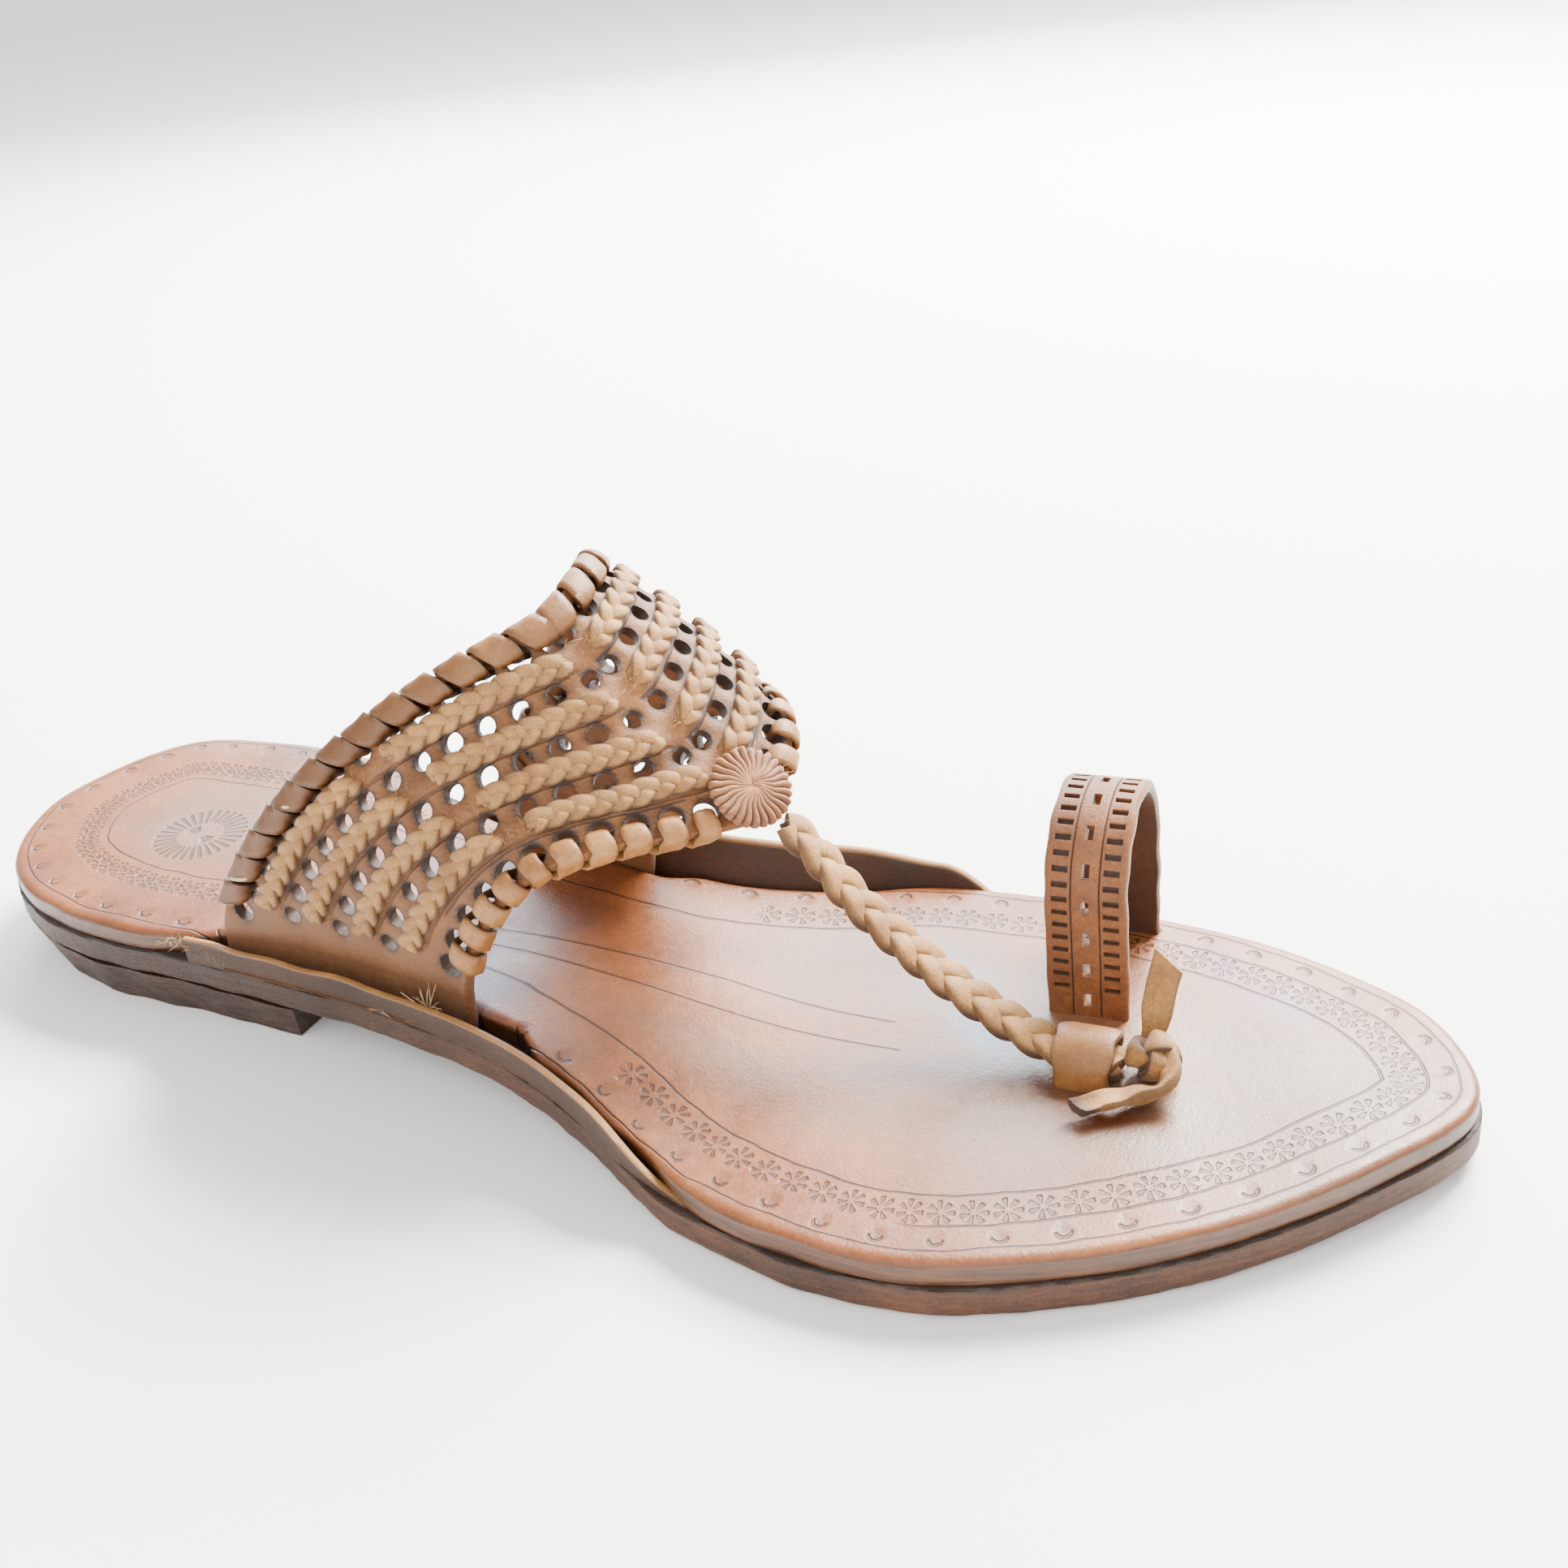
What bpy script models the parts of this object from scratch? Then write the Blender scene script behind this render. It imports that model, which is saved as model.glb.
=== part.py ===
"""Kolhapuri chappal for the right foot: a flat leather toe-ring sandal.

It is drawn with the heel's back at x = 0 and the toe tip at x = LENGTH, and set
down at the end with its origin on the floor under the heel seat. +Y is the medial
side, where the big toe goes, and the floor is z = 0. All sizes are in metres.
"""
import math

import bmesh
import bpy
import numpy as np
from mathutils import Matrix, Vector

# Main sizes
LENGTH = 0.275
BALL_WIDTH = 0.0915
GAP = 0.0003
HEEL_SEAT = 0.0400

# Sole stack: outsole, insole and the two heel lifts
OUTSOLE_THICK = 0.0054
INSOLE_THICK = 0.0039
HEEL_RISE = 0.0094
TOE_SPRING = 0.0020
HEEL_LENGTH = 0.0870
HEEL_TAPER = 0.0030
HEEL_LIFTS = 2
LIFT_STEP = 0.0004
SOLE_EDGE = 0.0009
INSOLE_EDGE = 0.0011
INSOLE_INSET = 0.0005

# Ears: thin side flaps that stand between outsole and insole
EAR_INSET = 0.0002
EAR_THICK = 0.0016

# Instep band
BAND_WALL = 0.0024
INSTEP_RISE = 0.0606
BAND_STATION = 0.40
BRAID_WIDTH = 0.0046
BRAID_RISE = 0.0012
EDGE_BEAD_WIDTH = 0.0034
EDGE_BEAD_RISE = 0.0007
HOLE_DIAMETER = 0.0036
HOLES_PER_HALF_ROW = 12
HOLE_SIDES = 6
MEDIAL_BULGE = 0.0022

# Rosette on the band's front tip
ROSETTE_DIAMETER = 0.0130
ROSETTE_THICK = 0.0021
ROSETTE_DOME = 0.0009
ROSETTE_PLEATS = 26
ROSETTE_SCALLOP = 0.0006
ROSETTE_SEAT = 0.0009
ROSETTE_PLACE = 0.90

# Plaited toe thong
THONG_WIDTH = 0.0064
THONG_THICK = 0.0036
THONG_TWISTS = 11
THONG_RIDGE = 1.10

# Toe ring
RING_WIDTH = 0.0128
RING_THICK = 0.0021
RING_SPAN = 0.0268
RING_HEIGHT = 0.0342
RING_TURN = math.radians(6.0)
RING_HOLES = 14
RING_HOLE_LONG = 0.0022
RING_HOLE_WIDE = 0.0013

# Wrap loop that holds the thong's foot, the knot and its two tags
LOOP_WIDTH = 0.0092
LOOP_THICK = 0.0013
LOOP_ROOM = 0.0004
LOOP_TURN = math.radians(4.0)
KNOT_LENGTH = 0.0092
KNOT_WIDTH = 0.0086
KNOT_HEIGHT = 0.0082
TAG_UP_LENGTH = 0.0150
TAG_UP_WIDTH = 0.0042
TAG_THICK = 0.0014
TAG_FRONT_LENGTH = 0.0135
TAG_FRONT_WIDTH = 0.0040

# Outline rows: station and half widths, as shares of LENGTH and BALL_WIDTH
OUTLINE = [
    # station, medial, lateral
    (0.040, 0.306, 0.248),
    (0.120, 0.369, 0.355),
    (0.250, 0.349, 0.357),
    (0.400, 0.246, 0.362),
    (0.520, 0.236, 0.415),
    (0.640, 0.397, 0.548),
    (0.760, 0.436, 0.564),
    (0.880, 0.393, 0.381),
    (0.965, 0.263, 0.125),
]
HEEL_POINT = 0.0
TOE_POINT = 0.067

# Rise of the outsole's underside: station, share of HEEL_RISE, share of TOE_SPRING
UNDERSIDE = [
    # station, heel, toe
    (0.00, 1.00, 0.0),
    (0.22, 0.95, 0.0),
    (0.45, 0.78, 0.0),
    (0.65, 0.00, 0.0),
    (0.85, 0.00, 0.0),
    (1.00, 0.00, 1.0),
]

# Band edges from the lateral foot (-1) over the instep (0) to the medial foot (+1).
# x is a share of LENGTH, y of BALL_WIDTH, z of INSTEP_RISE above the footbed.
BAND_EDGES = [
    # across, rear x, rear y, rear z, front x, front y, front z
    (-1.00, 0.2655, -0.333, -0.06, 0.4580, -0.360, -0.08),
    (-0.93, 0.2690, -0.333, 0.090, 0.4640, -0.360, 0.075),
    (-0.80, 0.3000, -0.326, 0.323, 0.4836, -0.350, 0.274),
    (-0.60, 0.3490, -0.284, 0.571, 0.5200, -0.306, 0.447),
    (-0.40, 0.4036, -0.219, 0.761, 0.5545, -0.224, 0.480),
    (-0.20, 0.4509, -0.142, 0.884, 0.5890, -0.131, 0.464),
    (0.00, 0.4836, -0.044, 0.950, 0.6145, -0.022, 0.455),
    (0.20, 0.4855, 0.077, 0.998, 0.6109, 0.098, 0.521),
    (0.40, 0.4655, 0.197, 0.959, 0.5890, 0.208, 0.554),
    (0.60, 0.4290, 0.284, 0.769, 0.5600, 0.284, 0.488),
    (0.80, 0.3890, 0.317, 0.455, 0.5236, 0.306, 0.290),
    (0.93, 0.3600, 0.245, 0.100, 0.4840, 0.215, 0.075),
    (1.00, 0.3527, 0.238, -0.06, 0.4727, 0.210, -0.08),
]
WALL_STARTS_UPRIGHT = 0.93
BLEND_FROM = 0.80

# Raised strips: place between rear (0) and front (1) edge
BRAID_ROWS = (0.180, 0.375, 0.575, 0.770)
HOLE_ROWS = (0.277, 0.475, 0.672)
# Stretches of each braid on either side, as shares from the centre to the foot
BRAID_STRETCHES = ((0.03, 0.47), (0.54, 0.87))
RAMP = 0.01
FRONT_BEAD = (0.12, 0.88)
REAR_BEAD = (0.00, 0.88)

# Ears: share along the ear, height above the insole and flare, of EAR_RISE and EAR_FLARE
EAR_RISE = 0.0062
EAR_FLARE = 0.0034
EARS = {
    # name: side, start and end station, rows of (share, rise, flare)
    "ear_lateral": (-1, 0.236, 0.604, ((0.0, 0.05, 0.0), (0.15, 0.40, 0.75), (0.35, 0.52, 1.0),
                                       (0.60, 0.62, 1.0), (0.80, 0.45, 0.45), (1.0, 0.04, 0.0))),
    "ear_medial": (1, 0.316, 0.676, ((0.0, 0.06, 0.0), (0.15, 0.55, 0.8), (0.40, 0.95, 1.0),
                                     (0.65, 1.00, 1.0), (0.85, 0.60, 0.45), (1.0, 0.04, 0.0))),
}

# Thong centre line: station, y share of BALL_WIDTH, height above the footbed there
THONG_ROUTE = [
    # station, y, height
    (0.6240, -0.018, 0.0332),
    (0.6420, -0.012, 0.0277),
    (0.6590, -0.014, 0.0222),
    (0.6780, -0.018, 0.0178),
    (0.7010, -0.024, 0.0134),
    (0.7280, -0.033, 0.0092),
    (0.7560, -0.042, 0.0057),
    (0.7860, -0.049, 0.0031),
    (0.8190, -0.047, 0.0024),
]
LOOP_PLACE = (0.8010, -0.047)
KNOT_PLACE = (0.8360, -0.030)
RING_PLACE = (0.7800, 0.235)
TAG_UP_PLACE = (0.8300, 0.0265)
TAG_FRONT_HEADING = math.radians(-141.0)


def centripetal_curve(points, steps, closed):
    """Catmull-Rom curve through the points, with knots at the root of the chord."""
    points = np.asarray(points, float)
    if closed:
        points = np.vstack([points[-1], points, points[0], points[1]])
    else:
        points = np.vstack([2 * points[0] - points[1], points, 2 * points[-1] - points[-2]])
    curve = []
    for p0, p1, p2, p3 in zip(points[:-3], points[1:-2], points[2:-1], points[3:]):
        t0 = 0.0
        t1 = t0 + math.sqrt(np.linalg.norm(p1 - p0))
        t2 = t1 + math.sqrt(np.linalg.norm(p2 - p1))
        t3 = t2 + math.sqrt(np.linalg.norm(p3 - p2))
        for t in np.linspace(t1, t2, steps, endpoint=False):
            a1 = ((t1 - t) * p0 + (t - t0) * p1) / (t1 - t0)
            a2 = ((t2 - t) * p1 + (t - t1) * p2) / (t2 - t1)
            a3 = ((t3 - t) * p2 + (t - t2) * p3) / (t3 - t2)
            b1 = ((t2 - t) * a1 + (t - t0) * a2) / (t2 - t0)
            b2 = ((t3 - t) * a2 + (t - t1) * a3) / (t3 - t1)
            curve.append(((t2 - t) * b1 + (t - t1) * b2) / (t2 - t1))
    if not closed:
        curve.append(points[-2])
    return np.array(curve)


def monotone(xs, ys, at):
    """Cubic through a table that never overshoots its rows."""
    xs, ys = np.asarray(xs, float), np.asarray(ys, float)
    at = np.clip(at, xs[0], xs[-1])
    step = np.diff(xs)
    rise = np.diff(ys) / step
    slope = np.zeros(len(xs))
    same = rise[:-1] * rise[1:] > 0
    slope[1:-1][same] = 2 / (1 / rise[:-1][same] + 1 / rise[1:][same])
    slope[0], slope[-1] = rise[0], rise[-1]
    i = np.clip(np.searchsorted(xs, at, side="right") - 1, 0, len(step) - 1)
    t = (at - xs[i]) / step[i]
    return (ys[i] * (1 + 2 * t) * (1 - t) ** 2 + ys[i + 1] * t * t * (3 - 2 * t)
            + step[i] * (slope[i] * t * (1 - t) ** 2 + slope[i + 1] * t * t * (t - 1)))


def smooth_step(low, high, value):
    """0 below low, 1 above high and a soft S between them."""
    t = np.clip((np.asarray(value, float) - low) / (high - low), 0, 1)
    return t * t * (3 - 2 * t)


def underside(x):
    """Height of the outsole's lower face at x."""
    stations, heel, toe = zip(*UNDERSIDE)
    share = np.asarray(x) / LENGTH
    return HEEL_RISE * monotone(stations, heel, share) + TOE_SPRING * monotone(stations, toe, share)


def outsole_top(x):
    """Height of the outsole's upper face at x."""
    return underside(x) + OUTSOLE_THICK


def footbed(x):
    """Height of the insole's upper face at x."""
    return outsole_top(x) + GAP + INSOLE_THICK


def outline_loop():
    """Closed plan outline of the outsole, from the heel point along the lateral side."""
    lateral = [(s * LENGTH, -w * BALL_WIDTH) for s, _, w in OUTLINE]
    medial = [(s * LENGTH, w * BALL_WIDTH) for s, w, _ in OUTLINE]
    points = [(0, HEEL_POINT * BALL_WIDTH)] + lateral
    points += [(LENGTH, TOE_POINT * BALL_WIDTH)] + medial[::-1]
    return centripetal_curve(points, 24, closed=True)


LOOP = outline_loop()


def inset_sides(inset):
    """Lateral and medial halves of the outline moved inwards by a size or a function of x."""
    along = np.roll(LOOP, -1, axis=0) - np.roll(LOOP, 1, axis=0)
    inward = np.stack([-along[:, 1], along[:, 0]], axis=1)
    inward /= np.linalg.norm(inward, axis=1)[:, None]
    depth = inset(LOOP[:, 0]) if callable(inset) else np.full(len(LOOP), inset)
    moved = LOOP + inward * depth[:, None]
    heel, toe = moved[:, 0].argmin(), moved[:, 0].argmax()
    turned = np.roll(moved, -heel, axis=0)
    split = (toe - heel) % len(moved)
    lateral = turned[:split + 1]
    medial = np.vstack([turned[split:], turned[:1]])[::-1]
    return lateral, medial


def side_y(x, side, inset):
    """Plan y of the outline on the lateral (-1) or medial (+1) side, moved in by inset."""
    lateral, medial = inset_sides(inset)
    half = lateral if side < 0 else medial
    order = np.argsort(half[:, 0])
    return np.interp(x, half[order, 0], half[order, 1])


def material(name, colour, roughness):
    """Plain leather finish."""
    made = bpy.data.materials.new(name)
    made.use_nodes = True
    shader = made.node_tree.nodes["Principled BSDF"]
    shader.inputs["Base Color"].default_value = (*colour, 1)
    shader.inputs["Roughness"].default_value = roughness
    shader.inputs["Metallic"].default_value = 0
    made.diffuse_color = (*colour, 1)
    return made


def add_object(name, mesh_data, finish, collection):
    """Put a mesh in the scene under its own name and finish."""
    made = bpy.data.objects.new(name, mesh_data)
    if finish:
        mesh_data.materials.append(finish)
    collection.objects.link(made)
    return made


def mesh_from(name, bm):
    """Close a bmesh into a mesh with its faces pointing out."""
    bmesh.ops.recalc_face_normals(bm, faces=bm.faces)
    made = bpy.data.meshes.new(name)
    bm.to_mesh(made)
    bm.free()
    made.set_sharp_from_angle(angle=math.radians(40))
    return made


def loft(name, rings):
    """Skin a row of closed sections, each with the same count of points, and cap both ends."""
    bm = bmesh.new()
    rows = [[bm.verts.new(p) for p in ring] for ring in rings]
    for near, far in zip(rows, rows[1:]):
        for i in range(len(near)):
            j = (i + 1) % len(near)
            bm.faces.new((near[i], near[j], far[j], far[i]))
    bm.faces.new(rows[0][::-1])
    bm.faces.new(rows[-1])
    return mesh_from(name, bm)


def sole_layer(name, levels, reach, count):
    """Loft one layer of the sole along the shoe.

    levels holds (height function, inset) pairs from its lower to its upper face, and reach
    the share of the way to the toe at which the layer stops: 1 for a whole layer.
    """
    ease = (1 - np.cos(np.pi * np.linspace(0, 1, count))) / 2
    if reach < 1:
        ease = 1 - np.cos(np.pi / 2 * np.linspace(0, 1, count))
    edges = []
    for height, inset in levels:
        lateral, medial = inset_sides(inset)
        low = lateral[0, 0]
        high = lateral[-1, 0] if reach == 1 else HEEL_LENGTH - (inset - levels[-1][1])
        trim = 0.0012 * (high - low)
        x = low + trim + (high - low - trim * (1 + (reach == 1))) * ease
        z = height(x)
        halves = []
        for half in (lateral, medial):
            order = np.argsort(half[:, 0])
            halves.append(np.stack([x, np.interp(x, half[order, 0], half[order, 1]), z], axis=1))
        edges.append(halves)
    rings = []
    for k in range(count):
        ring = [lateral[k] for lateral, _ in edges]
        ring += [medial[k] for _, medial in reversed(edges)]
        rings.append(ring)
    return loft(name, rings)


def foot_room(x):
    """How far the insole steps in from the outline to leave room for band feet and ears."""
    share = np.asarray(x) / LENGTH
    ears = smooth_step(0.20, 0.236, share) - smooth_step(0.66, 0.72, share)
    feet = smooth_step(0.236, 0.262, share) - smooth_step(0.485, 0.515, share)
    ear_room = EAR_INSET + EAR_THICK + GAP - INSOLE_INSET
    return INSOLE_INSET + ear_room * ears + (BAND_WALL + GAP) * feet


def make_soles(leather, dark, collection):
    """Outsole, insole and the stack of heel lifts."""
    outsole = sole_layer("outsole", [
        (underside, SOLE_EDGE),
        (lambda x: underside(x) + SOLE_EDGE, 0.0),
        (lambda x: outsole_top(x) - SOLE_EDGE / 2, 0.0),
        (outsole_top, SOLE_EDGE / 2)], 1, 46)
    add_object("outsole", outsole, dark, collection)
    insole = sole_layer("insole", [
        (lambda x: outsole_top(x) + GAP, lambda x: foot_room(x) + SOLE_EDGE / 2),
        (lambda x: outsole_top(x) + GAP + SOLE_EDGE / 2, foot_room),
        (lambda x: footbed(x) - INSOLE_EDGE, foot_room),
        (lambda x: footbed(x) - INSOLE_EDGE * 0.3, lambda x: foot_room(x) + INSOLE_EDGE * 0.3),
        (footbed, lambda x: foot_room(x) + INSOLE_EDGE)], 1, 50)
    insole = add_object("insole", insole, leather, collection)
    for i in range(HEEL_LIFTS):
        low, high = i / HEEL_LIFTS, (i + 1) / HEEL_LIFTS
        under = HEEL_TAPER * (1 - low) + LIFT_STEP
        over = HEEL_TAPER * (1 - high) + LIFT_STEP
        room = 0.0 if i == 0 else GAP

        def height(x, share, lift):
            return (underside(x) - GAP) * share + lift

        lift = sole_layer("heel_lift_%d" % (i + 1), [
            (lambda x, s=low, r=room: height(x, s, r), under),
            (lambda x, s=high: height(x, s, 0.0), over)], HEEL_LENGTH / LENGTH, 18)
        add_object("heel_lift_%d" % (i + 1), lift, dark, collection)
    return insole


def make_ear(name, finish, collection):
    """Thin flap along one side of the waist, standing on the outsole and flaring outwards."""
    side, start, end, rows = EARS[name]
    share = np.linspace(0, 1, 22)
    x = LENGTH * (start + (end - start) * share)
    at, rise, flare = zip(*rows)
    top = footbed(x) + EAR_RISE * monotone(at, rise, share)
    out = EAR_FLARE * monotone(at, flare, share)
    base = outsole_top(x) + GAP
    bend = footbed(x) - INSOLE_EDGE
    outer = side_y(x, side, EAR_INSET + SOLE_EDGE / 2)
    inner = side_y(x, side, EAR_INSET + SOLE_EDGE / 2 + EAR_THICK - SOLE_EDGE / 2)
    rings = []
    for k in range(len(x)):
        lean = side * out[k]
        rings.append([
            (x[k], outer[k], base[k]), (x[k], outer[k], bend[k]),
            (x[k], outer[k] + lean, top[k]), (x[k], inner[k] + lean, top[k]),
            (x[k], inner[k], bend[k]), (x[k], inner[k], base[k])])
    add_object(name, loft(name, rings), finish, collection)


def band_edge(across, column):
    """Point of the band's rear (column 1) or front (column 4) edge curve."""
    table = np.array(BAND_EDGES)
    floor = float(footbed(BAND_STATION * LENGTH))
    points = table[:, column:column + 3] * (LENGTH, BALL_WIDTH, INSTEP_RISE) + (0, 0, floor)
    marked = np.column_stack([points, table[:, 0]])
    curve = centripetal_curve(marked, 16, closed=False)
    return np.stack([np.interp(across, curve[:, 3], curve[:, i]) for i in range(3)], axis=-1)


def band_surface(across, along):
    """Smooth outer face of the band: across runs -1 to 1 over the foot, along rear to front."""
    across, along = np.broadcast_arrays(np.asarray(across, float), np.asarray(along, float))
    rear, front = band_edge(across, 1), band_edge(across, 4)
    point = rear + (front - rear) * along[..., None]
    # The medial side is rounder than a straight run between the edges
    swell = MEDIAL_BULGE * 4 * along * (1 - along) * np.sin(np.pi * np.clip(across, 0, 1)) ** 2
    point[..., 1] += swell * 0.7
    point[..., 2] += swell * 0.7
    # The feet stand upright between ear and insole
    foot_inset = EAR_INSET + EAR_THICK + GAP
    for side in (-1, 1):
        near = side * across
        pull = smooth_step(BLEND_FROM, WALL_STARTS_UPRIGHT, near)
        wall_y = side_y(point[..., 0], side, foot_inset)
        point[..., 1] += np.where(near > 0, pull * (wall_y - point[..., 1]), 0)
        down = smooth_step(WALL_STARTS_UPRIGHT, 1.0, near)
        foot_z = outsole_top(point[..., 0]) + GAP
        point[..., 2] += np.where(near > 0, down * (foot_z - point[..., 2]), 0)
    return point


def band_normal(across, along):
    """Outward direction of the band's face."""
    d = 0.004
    low_a, high_a = np.clip(across - d, -1, 1), np.clip(across + d, -1, 1)
    low_v, high_v = np.clip(along - d, 0, 1), np.clip(along + d, 0, 1)
    over = band_surface(high_a, along) - band_surface(low_a, along)
    forward = band_surface(across, high_v) - band_surface(across, low_v)
    normal = np.cross(forward, over)
    return normal / np.linalg.norm(normal, axis=-1)[..., None]


def raised(across, stretches):
    """1 on the given stretches from the centre outwards and 0 between them."""
    distance = abs(across)
    return max(min(1.0, max(0.0, (distance - a) / RAMP), max(0.0, (b - distance) / RAMP))
               if a > 0 else min(1.0, max(0.0, (b - distance) / RAMP)) for a, b in stretches)


def band_profile(across):
    """Rows (along, rise) of the outer face of the band in one section."""
    deep = np.linalg.norm(band_surface(across, 1.0) - band_surface(across, 0.0))
    bead = EDGE_BEAD_WIDTH / deep
    half = BRAID_WIDTH / 2 / deep
    slope = 0.25 * half
    rear = EDGE_BEAD_RISE * raised(across, (REAR_BEAD,))
    front = EDGE_BEAD_RISE * raised(across, (FRONT_BEAD,))
    braid = BRAID_RISE * raised(across, BRAID_STRETCHES)
    rows = [(0.0, rear), (bead, rear), (bead + slope, 0.0)]
    for centre in BRAID_ROWS:
        rows += [(centre - half - slope, 0.0), (centre - half, 0.8 * braid), (centre, braid),
                 (centre + half, 0.8 * braid), (centre + half + slope, 0.0)]
    rows += [(1 - bead - slope, 0.0), (1 - bead, front), (1.0, front)]
    return rows


def make_band(finish, collection, cutters):
    """One leather wall over the instep with raised braids, beaded edges and punched holes."""
    half = [0.0, 0.02, 0.04, 0.10, 0.16, 0.22, 0.28, 0.34, 0.40, 0.46, 0.47, 0.54, 0.55,
            0.61, 0.67, 0.73, 0.79, 0.83, 0.86, 0.87, 0.93, 1.0]
    stations = [-a for a in half[:0:-1]] + half
    rings = []
    for across in stations:
        rows = band_profile(across)
        along = np.array([row[0] for row in rows])
        rise = np.array([row[1] for row in rows])
        outer = band_surface(across, along) + band_normal(across, along) * rise[:, None]
        back = np.linspace(1, 0, 5)
        inner = band_surface(across, back) - band_normal(across, back) * BAND_WALL
        rings.append(list(outer) + list(inner))
    band = add_object("instep_band", loft("instep_band", rings), finish, collection)
    holes = bmesh.new()
    for row in HOLE_ROWS:
        for across in hole_places(row):
            point, normal = band_surface(across, row), band_normal(across, row)
            turn = Vector(normal).to_track_quat("Z", "Y").to_matrix().to_4x4()
            bmesh.ops.create_cone(
                holes, cap_ends=True, segments=HOLE_SIDES, radius1=HOLE_DIAMETER / 2,
                radius2=HOLE_DIAMETER / 2, depth=4 * BAND_WALL,
                matrix=Matrix.Translation(Vector(point)) @ turn)
    cut(band, add_object("band_hole_punch", mesh_from("band_hole_punch", holes), None, cutters))
    return band


def hole_places(row):
    """Even places along one row of holes, by distance from the centre to each foot."""
    places = [0.0]
    across = np.linspace(0, 1, 81)
    for side in (-1, 1):
        points = band_surface(side * across, np.full(81, row))
        run = np.concatenate([[0], np.cumsum(np.linalg.norm(np.diff(points, axis=0), axis=1))])
        last = np.interp(BRAID_STRETCHES[-1][1], across, run)
        for k in range(1, HOLES_PER_HALF_ROW + 1):
            places.append(side * float(np.interp(last * k / HOLES_PER_HALF_ROW, run, across)))
    return places


def cut(target, cutter):
    """Cut one object by another, which stays in the scene as a hidden guide."""
    cutter.hide_render = True
    cutter.display_type = "WIRE"
    boolean = target.modifiers.new("cut " + cutter.name, "BOOLEAN")
    boolean.operation = "DIFFERENCE"
    boolean.solver = "EXACT"
    boolean.object = cutter


def make_rosette(finish, collection):
    """Pleated round button with a scalloped rim and a low dome."""
    centre, normal = band_surface(0.0, ROSETTE_PLACE), band_normal(0.0, ROSETTE_PLACE)
    sides = 2 * ROSETTE_PLEATS
    angle = 2 * math.pi * np.arange(sides) / sides
    pleat = np.where(np.arange(sides) % 2, ROSETTE_SCALLOP, 0.0)
    seat = GAP + ROSETTE_SEAT
    rows = [
        # radius share, height, depth of the pleats
        (0.92, seat, 1.0),
        (1.00, seat + ROSETTE_THICK * 0.5, 1.0),
        (0.94, seat + ROSETTE_THICK, 1.0),
        (0.45, seat + ROSETTE_THICK + ROSETTE_DOME, 0.5),
        (0.16, seat + ROSETTE_THICK + ROSETTE_DOME * 1.1, 0.0),
    ]
    rings = []
    for share, height, depth in rows:
        radius = ROSETTE_DIAMETER / 2 * share - pleat * depth * share
        lift = height - (pleat * depth * 0.6 if share < 0.95 and height > seat else 0)
        rings.append(np.stack([radius * np.cos(angle), radius * np.sin(angle),
                               np.broadcast_to(lift, angle.shape)], axis=1))
    rosette = add_object("rosette", loft("rosette", rings), finish, collection)
    turn = Vector(normal).to_track_quat("Z", "Y").to_matrix().to_4x4()
    rosette.data.transform(Matrix.Translation(Vector(centre)) @ turn)



def sweep_frames(path):
    """Tangent, side and up directions along a path that stays near a vertical plane."""
    tangent = np.gradient(path, axis=0)
    tangent /= np.linalg.norm(tangent, axis=1)[:, None]
    side = np.cross(np.broadcast_to((0.0, 0.0, 1.0), tangent.shape), tangent)
    side /= np.linalg.norm(side, axis=1)[:, None]
    return tangent, side, np.cross(tangent, side)


def make_thong(finish, collection):
    """Plait of three strands from the band's tip down to the toe gap, lobed on both sides."""
    route = [(s * LENGTH, y * BALL_WIDTH, float(footbed(s * LENGTH)) + h)
             for s, y, h in THONG_ROUTE]
    fine = centripetal_curve(route, 12, closed=False)
    run = np.concatenate([[0], np.cumsum(np.linalg.norm(np.diff(fine, axis=0), axis=1))])
    count = THONG_TWISTS * 5 + 1
    marks = np.linspace(0, run[-1], count)
    path = np.stack([np.interp(marks, run, fine[:, i]) for i in range(3)], axis=1)
    _, side, up = sweep_frames(path)
    angle = 2 * math.pi * np.arange(8) / 8
    rings = []
    for k in range(count):
        phase = 2 * math.pi * THONG_TWISTS * k / (count - 1)
        left = 0.86 + 0.14 * math.sin(phase)
        right = 0.86 - 0.14 * math.sin(phase)
        wide = np.cos(angle) * np.where(np.cos(angle) > 0, left, right) * THONG_WIDTH / 2
        ridge = 1 - (THONG_RIDGE - 1) * math.cos(2 * phase)
        high = np.sin(angle) * THONG_THICK / 2 * np.where(np.sin(angle) > 0, ridge, 0.9)
        rings.append(path[k] + wide[:, None] * side[k] + high[:, None] * up[k])
    add_object("toe_thong", loft("toe_thong", rings), finish, collection)


def arch_path(span, rise, foot, count):
    """Half of an oval on two straight legs, as (across, height) with feet at -foot."""
    angle = np.linspace(0, math.pi, count)
    radius = span / 2
    top = np.stack([-radius * np.cos(angle), (rise - radius) + radius * np.sin(angle)], axis=1)
    legs = np.linspace(-foot, rise - radius, 5)[:-1]
    left = np.stack([np.full(len(legs), -radius), legs], axis=1)
    right = np.stack([np.full(len(legs), radius), legs[::-1]], axis=1)
    return np.vstack([left, top, right])


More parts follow.
